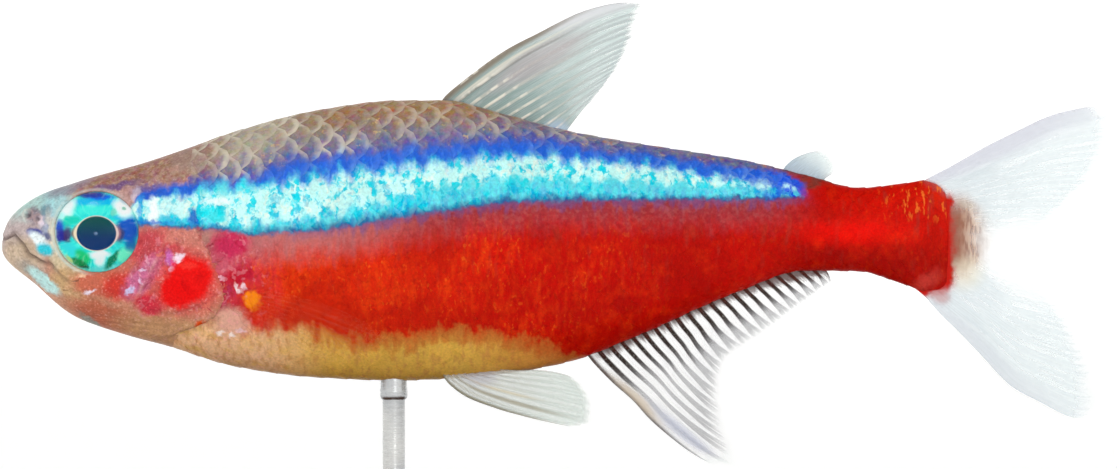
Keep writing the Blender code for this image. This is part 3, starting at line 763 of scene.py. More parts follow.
# Ovals of colour: colour, middle, half length, half height, lean in degrees, softness, strength
HEAD_PATCHES = (
    ((170, 144, 130), (5.75, 2.6), 0.6, 0.4, 30, 0.6, 0.8),
    ((190, 146, 132), (5.35, 2.3), 0.18, 0.08, 20, 0.5, 0.6),
    ((196, 180, 178), (0.45, 0.35), 1.05, 1.2, 0, 0.35, 1),
    ((202, 180, 154), (0.55, -0.45), 0.7, 0.62, 0, 0.4, 0.95),
    ((186, 226, 220), (1.15, 1.4), 1.05, 0.42, 30, 0.5, 0.9),
    ((170, 222, 226), (1.66, 1.22), 0.46, 0.5, 0, 0.5, 0.9),
    ((152, 168, 194), (1.38, 0.62), 0.24, 0.5, 0, 0.5, 0.85),
    ((112, 154, 166), (1.33, 1.03), 0.19, 0.16, 0, 0.5, 0.85),
    ((128, 112, 128), (0.93, 0.88), 0.23, 0.22, 0, 0.5, 0.85),
    ((232, 218, 230), (1.17, 0.74), 0.11, 0.15, 20, 0.5, 0.9),
    ((148, 138, 158), (2.05, 1.83), 0.75, 0.26, 20, 0.5, 0.75),
    ((96, 74, 140), (3.55, 1.8), 0.8, 0.1, 10, 0.6, 0.75),
    ((84, 80, 160), (4.55, 1.72), 0.45, 0.14, 10, 0.6, 0.8),
    ((206, 196, 214), (4.2, 1.55), 0.14, 0.22, 0, 0.5, 0.7),
    ((222, 214, 190), (1.6, 0.05), 0.2, 0.85, 10, 0.4, 0.9),
    ((214, 196, 160), (2.05, -0.86), 0.66, 0.26, -40, 0.4, 0.9),
    ((200, 164, 120), (2.12, -1.28), 0.66, 0.46, -20, 0.35, 1),
    ((166, 158, 150), (0.85, -0.82), 0.55, 0.2, -30, 0.5, 0.7),
    ((190, 232, 230), (1.26, -1.22), 0.66, 0.19, -40, 0.4, 0.95),
    ((188, 102, 76), (3.3, -2.34), 1.25, 0.42, -20, 0.4, 0.95),
    ((200, 150, 108), (5.2, -2.8), 1.7, 0.52, -10, 0.4, 0.95),
    ((136, 146, 136), (2.7, -2.52), 0.42, 0.11, -40, 0.5, 0.85),
    ((216, 92, 82), (5.15, -0.8), 1.7, 1.3, 0, 0.45, 0.8),
    ((204, 104, 80), (3.15, -1.26), 0.98, 0.44, 0, 0.35, 0.95),
    ((212, 56, 46), (3.72, -1.36), 0.56, 0.4, 0, 0.45, 0.95),
    ((206, 72, 80), (4.75, -0.12), 0.95, 0.55, 0, 0.4, 0.95),
    ((214, 132, 116), (5.7, 0.16), 0.6, 0.26, -10, 0.5, 0.8),
    ((200, 108, 154), (4.45, -1.02), 0.82, 0.36, 50, 0.45, 0.85),
    ((214, 34, 66), (4.62, -1.92), 0.5, 0.34, -10, 0.4, 0.9),
    ((222, 70, 70), (5.85, -1.3), 1.12, 0.95, 0, 0.35, 0.8),
    ((204, 110, 192), (5.27, -0.5), 0.15, 0.26, 10, 0.5, 0.85),
    ((248, 236, 246), (5.58, -0.44), 0.18, 0.09, 20, 0.5, 0.95),
    ((236, 214, 240), (5.29, -0.82), 0.08, 0.1, 0, 0.5, 0.85),
    ((238, 212, 240), (4.34, -0.86), 0.13, 0.05, 0, 0.5, 0.9),
    ((236, 206, 236), (4.36, -1.19), 0.08, 0.09, 0, 0.5, 0.8),
    ((214, 206, 246), (4.02, -1.5), 0.16, 0.08, 40, 0.5, 0.9),
    ((236, 170, 190), (4.53, -0.5), 0.06, 0.14, 0, 0.5, 0.7),
    ((244, 230, 244), (2.74, -1.56), 0.17, 0.07, 20, 0.5, 0.95),
    ((232, 120, 90), (4.98, -0.36), 0.1, 0.06, 30, 0.5, 0.7),
    ((228, 78, 12), (6.24, -2.56), 0.2, 0.14, 0, 0.4, 1),
    ((112, 74, 56), (2.28, -1.18), 0.16, 0.035, 10, 0.6, 0.8),
    ((112, 74, 56), (1.98, -1.47), 0.1, 0.03, -10, 0.6, 0.7),
    ((240, 206, 168), (2.5, -1.05), 0.1, 0.07, 0, 0.5, 0.7),
)
CHEEK_PATCHES = (
    ((236, 14, 12), (5.9, -1.12), 0.72, 0.7, 0, 0.26, 0.97),
    ((234, 14, 14), (5.5, -1.55), 0.54, 0.44, 0, 0.26, 0.97),
    # A painted highlight on the red cheek patch
    ((246, 60, 50), (5.8, -0.72), 0.3, 0.12, 0, 0.5, 0.6),
    ((176, 6, 14), (5.75, -1.3), 0.1, 0.24, 20, 0.6, 0.35),
    ((176, 6, 14), (6.2, -1.05), 0.12, 0.16, 0, 0.6, 0.3),
    ((248, 226, 240), (5.56, -0.48), 0.17, 0.07, 30, 0.5, 0.9),
)
PLATE_PATCHES = (
    ((36, 62, 160), (0.97, 0.35), 0.25, 0.12, -10, 0.45, 0.95),
    ((74, 84, 132), (1.4, 0.2), 0.15, 0.1, -40, 0.5, 0.85),
    ((238, 252, 254), (1.12, 0.1), 0.38, 0.16, -40, 0.4, 1),
    ((52, 202, 220), (1.3, -0.2), 0.27, 0.18, -20, 0.4, 1),
)
STRIPE_PATCHES = (
    ((40, 84, 196), (4.6, 1.48), 0.55, 0.13, 10, 0.5, 0.8),
    # Painted shade: deep blue in the hollow behind the gill cover's edge
    ((8, 104, 200), (6.02, 0.8), 0.16, 0.26, 0, 0.5, 0.9),
    ((206, 244, 242), (5.35, 1.14), 0.5, 0.2, 0, 0.6, 0.6),
    ((30, 190, 222), (5.3, 0.74), 0.4, 0.12, -10, 0.6, 0.8),
    ((244, 254, 253), (4.74, 1), 0.17, 0.42, 10, 0.45, 0.9),
    ((60, 150, 222), (4.34, 1.16), 0.08, 0.4, 0, 0.6, 0.7),
    ((16, 206, 226), (6.19, 1.15), 0.06, 0.62, 0, 0.5, 0.9),
    ((20, 226, 236), (6.66, 0.88), 0.4, 0.24, -10, 0.25, 0.9),
    ((236, 252, 248), (6.76, 1.32), 0.48, 0.12, 0, 0.45, 0.8),
    ((28, 96, 206), (4.6, 0.66), 0.7, 0.07, 0, 0.6, 0.7),
)
FLANK_PATCHES = (
    ((240, 12, 2), (26.7, 0.36), 1.45, 0.34, 0, 0.8, 0.7),
    ((204, 72, 62), (29.1, -1.22), 0.5, 0.24, 30, 0.6, 0.45),
    ((200, 92, 108), (6.9, -0.62), 0.5, 0.45, 0, 0.5, 0.85),
    ((198, 40, 84), (7.22, -0.04), 0.56, 0.42, 0, 0.45, 0.95),
    ((194, 16, 44), (7.42, -1.02), 0.42, 0.26, 20, 0.5, 0.85),
    ((218, 44, 10), (8.05, -1.95), 0.62, 0.68, 0, 0.5, 0.85),
    ((222, 168, 148), (7.2, -2.48), 0.52, 0.46, -20, 0.4, 0.9),
    ((180, 132, 118), (6.34, 0.14), 0.2, 0.32, -40, 0.5, 0.8),
    ((255, 142, 18), (7.88, -1.76), 0.25, 0.31, 10, 0.4, 1),
    # Painted highlights on the pectoral fin's base
    ((248, 222, 226), (7.44, -1.42), 0.16, 0.08, -40, 0.5, 0.95),
    ((246, 214, 222), (7.62, -1.36), 0.06, 0.1, 0, 0.5, 0.9),
    ((240, 176, 190), (6.86, -1.13), 0.16, 0.06, 0, 0.5, 0.85),
    ((248, 232, 226), (6.82, -2.8), 0.1, 0.08, 0, 0.5, 0.8),
    ((248, 232, 226), (7.15, -2.92), 0.09, 0.07, 0, 0.5, 0.8),
    ((236, 196, 200), (7.45, -2.78), 0.14, 0.06, 0, 0.5, 0.8),
)
# The markings' places are the camera's view of the near side, a little larger than at the middle plane
PICTURE_GROWTH = 1.0075
PICTURE_MIDDLE = (17.47, 0.27)


class Ground:
    """What the markings are drawn on: the place, wandering copies of it and noises of several sizes."""

    def __init__(self, g):
        grown = g.stretched(g.fish_place(), (PICTURE_GROWTH, 1, PICTURE_GROWTH))
        shrink = 1.0 - PICTURE_GROWTH
        place = g.vector("ADD", grown, (PICTURE_MIDDLE[0] * shrink, 0.0, PICTURE_MIDDLE[1] * shrink))
        x, y, z = g.parts(place)
        self.place = place
        self.girth = g.number("girth")

        flat = g.joined(x, 0, z)
        ragged = g.drift(place, 7.5, 2, 0.2, 0.2)
        self.close = g.vector("MULTIPLY_ADD", ragged, (0.5, 0.5, 0.5), flat)
        self.flat = g.vector("ADD", flat, g.vector("ADD", g.drift(place, 2.2, 3, 0.4, 0.34), ragged))
        self.along, _, self.high = g.parts(self.flat)
        self.moved = g.joined(self.along, y, self.high)
        self.broad = g.noise(place, 0.55, 3)
        self.middling = g.noise(place, 1.7, 3)
        self.fine = g.noise(place, 6, 3)
        self.finest = g.noise(place, 13, 2)
        self.combed = g.noise(g.stretched(place, (3.4, 1.5, 0.9)), 1.3, 2)
        self.strands = g.noise(g.stretched(place, (2, 1, 0.8)), 3.2, 3)
        self.motley = g.noise(place, 4.6, 3, 1, 0.6)
        self.motley_light = g.noise(place, 3.4, 3)

        self.x = x
        self.stripe_low = g.line(x, STRIPE_LOW)
        self.stripe_top = g.line(x, STRIPE_TOP)
        steps = g.times(g.plus(x, g.times(self.middling, 0.6)), 2 * math.pi / SCALE_PITCH)
        self.comb = g.math("SINE", steps)
        self.jag = g.plus(g.about(self.combed, 0.3), g.times(self.comb, 0.05))


def back_colours(g, colours, ground):
    """Brown, grey behind the nape, orange brown along the top and mauve above the blue."""
    along, high, place, girth, comb = ground.along, ground.high, ground.place, ground.girth, ground.comb
    broad, middling, fine, strands = ground.broad, ground.middling, ground.fine, ground.strands
    motley, stripe_top = ground.motley, ground.stripe_top
    over = g.minus(high, stripe_top)
    upper = g.mix(g.swing(fine, 0.35, 0.7), colours.back, (138, 110, 92))
    upper = g.lay(upper, colours.back_grey, g.swing(along, 10.4, 8.2), 0.9)
    nape = g.times(g.swing(g.plus(along, g.times(middling, 1.2)), 7.9, 6.3), g.swing(strands, 0.3, 0.56))
    upper = g.lay(upper, (160, 122, 106), nape, 0.75)
    above = g.plus(girth, g.about(middling, 0.5))
    top_share = g.times(g.swing(above, 0.62, 0.88), g.swing(along, 7.5, 11))
    upper = g.lay(upper, colours.back_top, top_share, 0.8)
    upper = g.mix(g.swing(g.plus(over, g.times(comb, 0.1)), 1.05, 0.2), upper, colours.back_mauve)
    haze = g.times(g.swing(g.plus(over, g.times(comb, 0.1)), 0.46, 0.04), g.swing(strands, 0.34, 0.6))
    upper = g.lay(upper, (80, 88, 164), haze, 0.76)
    glints = g.times(g.swing(fine, 0.58, 0.72), g.swing(broad, 0.35, 0.65, 0.25, 0.75))
    upper = g.mix(glints, upper, (206, 176, 118))
    embers = g.times(g.swing(g.noise(place, 2.7, 2), 0.6, 0.72), top_share)
    upper = g.lay(upper, (196, 112, 52), embers, 0.6)
    upper = g.mix(0.16, upper, motley, "LINEAR_LIGHT")
    rear = g.mix(g.swing(middling, 0.4, 0.65), (132, 54, 44), (176, 24, 10))
    upper = g.mix(g.swing(along, 23.6, 25.4), upper, rear)
    upper = g.mix(g.swing(along, 27, 28.4), upper, (186, 26, 10))
    sparks = g.times(g.swing(fine, 0.56, 0.68), g.swing(along, 26.6, 28))
    upper = g.lay(upper, (232, 96, 30), sparks, 0.7)
    return upper


def flank_colours(g, colours, ground):
    """Red, deeper and darker towards the tail."""
    along, high, place, combed = ground.along, ground.high, ground.place, ground.combed
    broad, middling, fine, strands = ground.broad, ground.middling, ground.fine, ground.strands
    flank = g.blend_along(
        g.times(along, 1 / FISH_SPAN),
        (
            (0.2, colours.magenta), (0.255, colours.red_front), (0.36, (216, 36, 8)),
            (0.46, colours.red), (0.6, (186, 10, 3)), (0.72, (190, 10, 2)),
            (0.8, (206, 16, 3)), (0.86, (204, 20, 6)),
        ),
    )
    flank = g.mix(g.swing(g.plus(broad, g.times(high, 0.05)), 0.28, 0.62, 0.5, 0), flank, colours.red_rear)
    flank = g.mix(g.swing(middling, 0.5, 0.72, 0, 0.4), flank, colours.red_front)
    stem = g.swing(along, 23.5, 26.5)
    dark_stem = g.times(stem, g.swing(g.plus(high, g.times(middling, 0.8)), 0.85, -0.25))
    flank = g.lay(flank, (136, 2, 1), dark_stem, 0.7)
    clouds = g.times(g.swing(broad, 0.4, 0.62, 0.25, 1), g.swing(along, 24, 12, 0.15, 1))
    ember = g.times(g.swing(strands, 0.4, 0.72), clouds)
    flank = g.lay(flank, (228, 66, 10), ember, 0.62)
    sparks = g.times(g.swing(g.noise(g.stretched(place, (1.6, 1, 1)), 5, 2), 0.6, 0.72), clouds)
    flank = g.lay(flank, colours.orange, sparks, 0.55)
    flank = g.lay(flank, (152, 6, 3), g.swing(fine, 0.48, 0.28), 0.35)
    veins = g.times(g.swing(combed, 0.54, 0.74), g.swing(high, -1.6, 0.6, 0.1, 0.5))
    flank = g.mix(veins, flank, (158, 52, 40))
    return flank


def lower_colours(g, colours, ground, flank):
    """The belly, gold under the flank's red and tan in front, with painted shade along its underside."""
    along, high, girth = ground.along, ground.high, ground.girth
    middling, strands, combed = ground.middling, ground.strands, ground.combed
    belly = g.mix(g.swing(along, 7.8, 10.6), colours.tan, colours.gold)
    belly = g.mix(g.swing(middling, 0.45, 0.7, 0, 0.6), belly, (228, 182, 84))
    belly = g.mix(g.swing(strands, 0.46, 0.68, 0, 0.55), belly, (198, 134, 76))
    belly = g.lay(belly, (200, 100, 44), g.swing(along, 14.2, 18.2), 0.8)
    # Painted shade along the underside of the belly
    belly = g.lay(belly, (160, 110, 52), g.swing(girth, -0.78, -0.99), 0.35)
    red_low = g.line(ground.x, RED_LOW)
    fringe = g.plus(g.about(middling, 0.8), g.about(combed, 0.7))
    below = g.minus(red_low, g.plus(high, fringe))
    low = g.mix(g.swing(below, -0.3, 0.42), flank, belly)
    border = g.times(g.swing(g.math("ABSOLUTE", g.minus(below, 0.05)), 0.42, 0.05), g.swing(along, 9, 11))
    low = g.lay(low, (194, 112, 48), border, 0.6)
    return low


def mauve_band(g, colours, ground, low):
    """The mauve band under the stripe, and the flank's small patches."""
    along, high, combed, fine = ground.along, ground.high, ground.combed, ground.fine
    under = g.plus(g.minus(ground.stripe_low, high), g.about(combed, 1))
    band = g.times(g.swing(under, 1.3, 0.1), g.swing(along, 5.6, 6.6))
    mauve = g.mix(g.swing(along, 9.5, 14.5), (186, 118, 118), colours.mauve)
    mauve = g.mix(g.swing(fine, 0.42, 0.66, 0, 0.4), mauve, (176, 104, 104))
    low = g.mix(g.times(band, g.swing(along, 23.5, 26, 0.85, 0)), low, mauve)
    line = g.times(g.swing(under, 0.34, 0.02), g.swing(along, 8, 11))
    low = g.mix(g.times(line, g.swing(along, 24.5, 25.6, 0.55, 0)), low, (104, 78, 136))
    return g.paint(ground.flat, low, FLANK_PATCHES)


def head_colours(g, colours, ground):
    """The naked head's ground colour and its patches."""
    along, high, fine = ground.along, ground.high, ground.fine
    head = g.mix(g.swing(high, -1.9, 1.4), (200, 146, 116), (190, 150, 144))
    crown = g.mix(g.swing(fine, 0.4, 0.66), colours.crown, (186, 148, 130))
    crown = g.mix(0.14, crown, ground.motley, "LINEAR_LIGHT")
    crown_line = g.plus(high, g.swing(along, 0.6, 5.5, 0.52, -0.12))
    head = g.mix(g.swing(crown_line, 1.66, 1.9), head, crown)
    head = g.paint(ground.flat, head, HEAD_PATCHES)
    return g.paint(ground.close, head, PLATE_PATCHES)


def cheek_flecks(g, ground, low, head):
    """Small pale, lilac and dark red flecks over the cheek and the breast, and the red cheek patch with a
    painted highlight on it.
    """
    along, high, place, finest = ground.along, ground.high, ground.place, ground.finest
    cheek = g.times(g.swing(along, 3.5, 4.4), g.times(g.swing(along, 9, 7.6), g.swing(high, 0.55, 0.05)))
    lilac = g.times(g.swing(g.noise(place, 5.2, 2), 0.57, 0.68), cheek)
    lilac = g.times(lilac, g.swing(high, -3, -1.2, 0.55, 0.8))
    dusk = g.times(g.swing(g.noise(place, 4.4, 2), 0.45, 0.33), cheek)
    dusk = g.times(dusk, g.swing(high, -2.2, -1.4))
    low = g.lay(low, (176, 16, 44), dusk, 0.45)
    head = g.lay(head, (170, 34, 50), dusk, 0.45)
    low = g.lay(low, (236, 150, 160), lilac, 0.42)
    head = g.lay(head, (240, 170, 184), lilac, 0.3)
    head = g.lay(head, (238, 214, 204), g.swing(finest, 0.56, 0.74), 0.2)
    head = g.lay(head, (112, 72, 66), g.swing(finest, 0.42, 0.26), 0.26)
    head = g.mix(g.swing(ground.motley_light, 0.4, 0.6, 0.16, 0), head, (104, 66, 62))
    return low, g.paint(ground.flat, head, CHEEK_PATCHES)


def stripe_colours(g, colours, ground):
    """The stripe's share, and its navy edge, cyan core with a mint network and deep blue above."""
    along, high, jag, comb, moved = ground.along, ground.high, ground.jag, ground.comb, ground.moved
    stripe_low, stripe_top = ground.stripe_low, ground.stripe_top
    middling, strands = ground.middling, ground.strands
    height = g.minus(high, stripe_low)
    share_up = g.math("DIVIDE", height, g.minus(stripe_top, stripe_low))
    inside = g.times(g.swing(height, -0.12, 0.06), g.swing(g.plus(share_up, g.times(jag, 0.7)), 1.12, 0.88))
    start = g.minus(along, g.swing(high, 1.15, 1.65, 0, 0.3))
    stripe = g.times(inside, g.times(g.swing(start, 3.95, 4.15), g.swing(along, 25.4, 24.95)))
    rearward = g.swing(along, 20.5, 25, 0, 0.22)
    rearward = g.minus(rearward, g.swing(g.math("ABSOLUTE", g.minus(along, 7.15)), 1.25, 0.75, 0, 0.18))
    blue_share = g.swing(g.plus(g.plus(share_up, jag), rearward), 0.58, 0.86)
    blue = g.mix(g.swing(strands, 0.5, 0.68, 0, 0.55), colours.blue, (70, 130, 232))
    blue = g.lay(blue, (64, 72, 172), g.swing(share_up, 0.88, 1.05), 0.6)
    core = g.mix(g.swing(middling, 0.4, 0.64, 0, 0.45), colours.cyan, (60, 228, 234))
    bars = g.times(g.swing(share_up, 0.42, 0.14), g.swing(strands, 0.44, 0.62))
    core = g.lay(core, (0, 150, 214), bars, 0.62)
    tall = g.stretched(moved, (1.25, 1, 0.8))
    lumps = g.noise(tall, 2.6, 2)
    crumbs = g.noise(tall, 4.6, 2)
    web = g.swing(g.cell_edges(moved, 3.4), 0.12, 0.02)
    mottle = g.plus(g.times(lumps, 0.56), g.times(crumbs, 0.44))
    mottle = g.plus(mottle, g.times(web, 0.05))
    low_limit = g.plus(g.swing(along, 9, 15, 0.14, 0.36), g.times(comb, 0.06))
    flecks_up = g.times(g.swing(g.minus(share_up, low_limit), -0.08, 0.14), g.swing(share_up, 0.86, 0.62))
    flecks = g.times(g.swing(mottle, 0.42, 0.555), g.swing(flecks_up, 0, 1, 0.18, 1))
    core = g.lay(core, colours.mint, flecks, 0.93)
    bright = g.times(g.swing(g.noise(tall, 4, 2), 0.54, 0.66), flecks_up)
    core = g.lay(core, (232, 246, 232), bright, 0.7)
    shade_spots = g.times(g.swing(crumbs, 0.44, 0.34), g.swing(along, 20, 24, 0.35, 0.55))
    core = g.mix(shade_spots, core, (0, 160, 206))
    shown = g.mix(blue_share, core, blue)
    ending = g.times(g.swing(along, 23, 24.9), g.swing(crumbs, 0.62, 0.42, 0.25, 1))
    shown = g.mix(ending, shown, (26, 80, 222))
    sunk = g.swing(g.plus(share_up, g.times(jag, 0.25)), 0.15, -0.02)
    shown = g.lay(shown, colours.navy, sunk, 0.85)
    return stripe, g.paint(ground.flat, shown, STRIPE_PATCHES)


def markings_group(colours):
    """The fish's colours by place, shared by its skin and its scales."""
    tree = bpy.data.node_groups.new("Tetra markings", "ShaderNodeTree")
    for name, kind in (("Colour", "Color"), ("Stripe", "Float"), ("Upper", "Float")):
        tree.interface.new_socket(name=name, in_out="OUTPUT", socket_type=f"NodeSocket{kind}")
    g = Graph(tree)
    ground = Ground(g)
    upper = back_colours(g, colours, ground)
    low = lower_colours(g, colours, ground, flank_colours(g, colours, ground))
    low = mauve_band(g, colours, ground, low)
    head = head_colours(g, colours, ground)
    low, head = cheek_flecks(g, ground, low, head)
    stripe, shown = stripe_colours(g, colours, ground)

    # The upper and lower side, the head and the stripe are joined, and the stem gets its own flecks
    along, high, stripe_low, stripe_top = ground.along, ground.high, ground.stripe_low, ground.stripe_top
    cut = g.plus(g.times(g.plus(stripe_top, stripe_low), 0.5), g.swing(along, 24.8, 28, 0, 0.55))
    side = g.mix(g.swing(g.minus(high, cut), -0.1, 0.1), low, upper)
    side = g.mix(g.number("naked"), side, head)
    everything = g.mix(stripe, side, shown)
    root = g.swing(g.plus(high, g.times(g.minus(along, 28.85), 0.54)), 1.85, 2.15)
    root = g.times(root, g.swing(along, 28.4, 28.9))
    everything = g.lay(everything, (168, 104, 98), root, 0.45)
    stem_sparks = g.swing(ground.strands, 0.56, 0.66)
    stem_sparks = g.times(stem_sparks, g.times(g.swing(along, 27.2, 28.4), g.swing(high, 0.5, 1.1)))
    everything = g.lay(everything, (236, 116, 40), stem_sparks, 0.75)
    grain = g.swing(ground.finest, 0.25, 0.75, 0.9, 1.1)
    everything = g.mix(1, everything, g.joined(grain, grain, grain), "MULTIPLY")

    outputs = tree.nodes.new("NodeGroupOutput")
    shown_upper = g.times(g.swing(g.minus(high, stripe_top), -0.15, 0.25), g.swing(along, 23, 17))
    for name, socket in (("Colour", everything), ("Stripe", stripe), ("Upper", shown_upper)):
        tree.links.new(socket, outputs.inputs[name])
    return tree


def place_markings(graph, group):
    node = graph.tree.nodes.new("ShaderNodeGroup")
    node.node_tree = group
    return tuple(node.outputs[name] for name in ("Colour", "Stripe", "Upper"))


def skin_material(group):
    material, shader, g = new_material("tetra_skin")
    colour, _, _ = place_markings(g, group)
    place = g.fish_place()
    # Painted shade in the head's grooves, seams and pits, carried by the dark numbers
    colour = g.lay(colour, (84, 66, 66), g.number("dark"), 0.7)
    colour = g.lay(colour, (236, 190, 170), g.number("pale"), 0.62)
    rim = g.mix(g.swing(g.noise(place, 3), 0.4, 0.6), (228, 224, 204), (196, 214, 206))
    colour = g.lay(colour, rim, g.number("rim"), 0.8)
    grain = g.plus(g.noise(place, 9, 3), g.times(g.noise(place, 3, 2), 0.8))
    bump = g.bump(0.35, 0.03, grain)
    rough = g.swing(grain, 0.6, 1.2, 0.26, 0.42)
    finish_look(g, shader, colour, rough, bump, Specular_IOR_Level=0.04)
    return material


def scale_material(group):
    material, shader, g = new_material("tetra_scales")
    colour, stripe, upper = place_markings(g, group)
    place = g.fish_place()
    edge = g.number("edge")
    tone = g.number("tone")
    rim = g.swing(g.plus(edge, g.about(g.noise(place, 5), 0.3)), 0.72, 0.96)
    patchy = g.swing(g.noise(place, 0.9, 2), 0.35, 0.62, 0.25, 1)
    pale = g.mix(stripe, (216, 206, 186), (206, 248, 250))
    strength = g.times(upper, g.swing(g.parts(place)[0], 9, 13.5, 0.85, 0.48))
    strength = g.greater(strength, g.times(stripe, 0.1))
    flesh = g.mix(g.times(g.times(rim, strength), patchy), colour, pale)
    # Painted shade near each scale's root, where it lies under the scale in front
    root = g.swing(edge, 0.62, 0.3)
    flesh = g.mix(g.times(root, g.times(upper, 0.12)), flesh, (96, 78, 78))
    shade = g.swing(tone, 0, 1, 0.95, 1.05)
    flesh = g.mix(1, flesh, g.joined(shade, shade, shade), "MULTIPLY")
    growth = g.noise(g.stretched(place, (2.4, 1, 0.8)), 9, 2)
    bump = g.bump(0.25, 0.02, growth)
    rough = g.swing(growth, 0.3, 0.7, 0.26, 0.42)
    finish_look(g, shader, flesh, rough, bump, Specular_IOR_Level=0.04)
    return material


def ball_places(points):
    """For a ball's vertices: 0 to 1 from its low pole to its high one, side, and girth."""
    polar = np.arctan2(np.hypot(points[:, 0], points[:, 1]), -points[:, 2]) / math.pi
    turn = np.mod(np.arctan2(points[:, 1], points[:, 0]) / (2 * math.pi), 1.0)
    side = np.where((turn > 0.25) & (turn < 0.75), -1.0, 1.0)
    girth = np.where(turn <= 0.25, 4 * turn, np.where(turn <= 0.75, 2 - 4 * turn, 4 * turn - 4))
    return polar, side, girth


def ring_places(polar):
    """Where each of the skin's rings goes: close together on the head, wider behind it."""
    x = BODY.roots ** 2
    run = np.hypot(np.diff(x), np.diff(BODY.high + BODY.low) / 2)
    gap = HEAD_RING_GAP + (BODY_RING_GAP - HEAD_RING_GAP) * smooth(x[1:], HEAD_REAR - 0.5, HEAD_REAR + 1.5)
    counted = np.concatenate(((0.0,), np.cumsum(run / gap)))
    return np.interp(polar, counted / counted[-1], x)


UNWRAP_SPAN = 36.0
UNWRAP_MARGIN = 0.01


def unwrapped(x, round_way, side):
    """A place on the unwrap: along the fish, and round it from the middle of the back."""
    return np.stack((UNWRAP_MARGIN + x / UNWRAP_SPAN, 0.5 + side * round_way / UNWRAP_SPAN), axis=-1)


def lay_flat(mesh, x, girth, side):
    """Gives the skin its own unwrap as the bake's map."""
    layer = mesh.uv_layers.new(name="OFBake")
    high = BODY.quarter(x, True)
    low = BODY.quarter(x, False)
    round_way = np.where(girth > 0.0, (1.0 - girth) * high, high - girth * low)
    corners = np.zeros(len(mesh.loops), np.int32)
    mesh.loops.foreach_get("vertex_index", corners)
    starts = np.zeros(len(mesh.polygons), np.int32)
    totals = np.zeros(len(mesh.polygons), np.int32)
    mesh.polygons.foreach_get("loop_start", starts)
    mesh.polygons.foreach_get("loop_total", totals)
    owner = np.repeat(np.arange(len(starts)), totals)
    middle_y = np.bincount(owner, side[corners] * (np.abs(girth[corners]) < 1.0)) / totals
    face_side = np.where(middle_y > 0.0, 1.0, -1.0)[owner]
    flat = unwrapped(x[corners], round_way[corners], face_side)
    layer.data.foreach_set("uv", flat.astype(np.float32).ravel())


class TETRA_OT_skin(bpy.types.Operator):
    """Make the one skin over the head, gill covers, trunk and tail, with its folds and pits"""

    bl_idname = "tetra.skin"
    bl_label = "Skin"

    def execute(self, context):
        skin = start_ball("skin", SKIN_SIDES, SKIN_RINGS)
        polar, side, girth = ball_places(read_points(skin.data))
        x = ring_places(polar)
        points = BODY.points(x, girth)
        normals = BODY.normals(x, girth)
        z = points[:, 2]
        relief, pale, dark = head_relief(x, z)
        naked = 1.0 - scaled_share(x, z)
        depth = context.scene.tetra_sizes.coat_depth / MM
        moves = gill_relief(x, z) + relief * naked - depth * (1.0 - naked)
        moves += 0.012 * np.sin(x * 2.1 + z * 1.3) * np.sin(z * 2.7) * naked
        moves *= smooth(x, 0.0, 0.12)
        points += normals * moves[:, None]
        points, rim = set_round_eye(points)
        points[:, 1] *= end_thinning(x)
        poles = (polar < 1e-4) | (polar > 1 - 1e-4)
        points[poles, 1] = 0.0
        points[:, 1] *= side
        write_points(skin.data, in_frame(points))
        # The dark numbers carry the shade painted into the head's grooves, seams and pits
        for name, values in (
            ("girth", girth), ("naked", naked), ("pale", pale * naked), ("dark", dark * naked), ("rim", rim),
        ):
            add_numbers(skin.data, name, values)
        lay_flat(skin.data, x, girth, side)
        shade_smooth(skin)
        finish_piece(
            skin, skin_material(markings(context)), "flank",
            "head", "lower_jaw", "gill_cover_left", "gill_cover_right", "trunk", "tail",
        )
        return {"FINISHED"}


def markings(context):
    group = bpy.data.node_groups.get("Tetra markings")
    return group or markings_group(context.scene.tetra_colours)


def one_scale(sizes):
    """One scale lying flat: x from its root at 0 to its rear edge at 1, y across from -1 to 1."""
    scale = start_piece(
        bpy.ops.mesh.primitive_grid_add, "scale", x_subdivisions=4, y_subdivisions=5, size=1.0,
        location=(0.5, 0.0, 0.0),
    )
    points = read_points(scale.data)
    points[:, 0] += 0.5
    points[:, 1] *= 2.0
    write_points(scale.data, points)
    thickness = sizes.scale_thickness / MM
    apply_modifier(scale, "SOLIDIFY", "thickness", thickness=thickness, offset=-1.0)
    mesh = scale.data
    points = read_points(mesh)
    faces = [tuple(face.vertices) for face in mesh.polygons]
    bpy.data.objects.remove(scale)
    bpy.data.meshes.remove(mesh)
    return points, faces


SCALE_SEED = 11
ROW_SAMPLES = 1200
ROWS_EACH_WAY = 14
LAST_SCALE = 29.62
SCALE_OVERLAP = 1.45
SCALE_BOW = 0.74


def pitch_share(slimmer):
    """How close the scales follow each other where the body is slimmer."""
    return 0.3 + 0.7 * slimmer


def scale_roots(sizes, draws):
    """The middle of each scale's rear edge on one side, as x and the way round from the widest level."""
    pitch = sizes.scale_pitch / MM
    row_gap = sizes.scale_row_gap / MM
    x = np.linspace(4.5, BODY_LENGTH + 1.5, ROW_SAMPLES)
    around = BODY.quarter(x, True) + BODY.quarter(x, False)
    slimmer = np.sqrt(around / around.max())
    phase = np.concatenate(((0.0,), np.cumsum(np.diff(x) / (pitch * pitch_share(slimmer[1:])))))
    found = []
    for row in range(-ROWS_EACH_WAY, ROWS_EACH_WAY + 1):
        first = 0.5 * (row % 2)
        spots = np.arange(first, phase[-1], 1.0)
        at = np.interp(spots, phase, x)
        upper = row > 0
        quarter = BODY.quarter(at, upper)
        widest = BODY.quarter(12.5, upper)
        away = row * row_gap * np.sqrt(quarter / widest)
        for place, way, whole in zip(at, away, quarter):
            draw = draws.random(4)
            if abs(way) > whole + 0.05:
                continue
            girth = way / whole
            point = BODY.points(np.array([place]), np.array([girth]))[0]
            if place < scales_start(point[2]) + 0.3 or place > LAST_SCALE - 0.25 * abs(girth):
                continue
            size = np.interp(place, x, slimmer)
            found.append((place, way, size, *draw))
    return np.array(found)


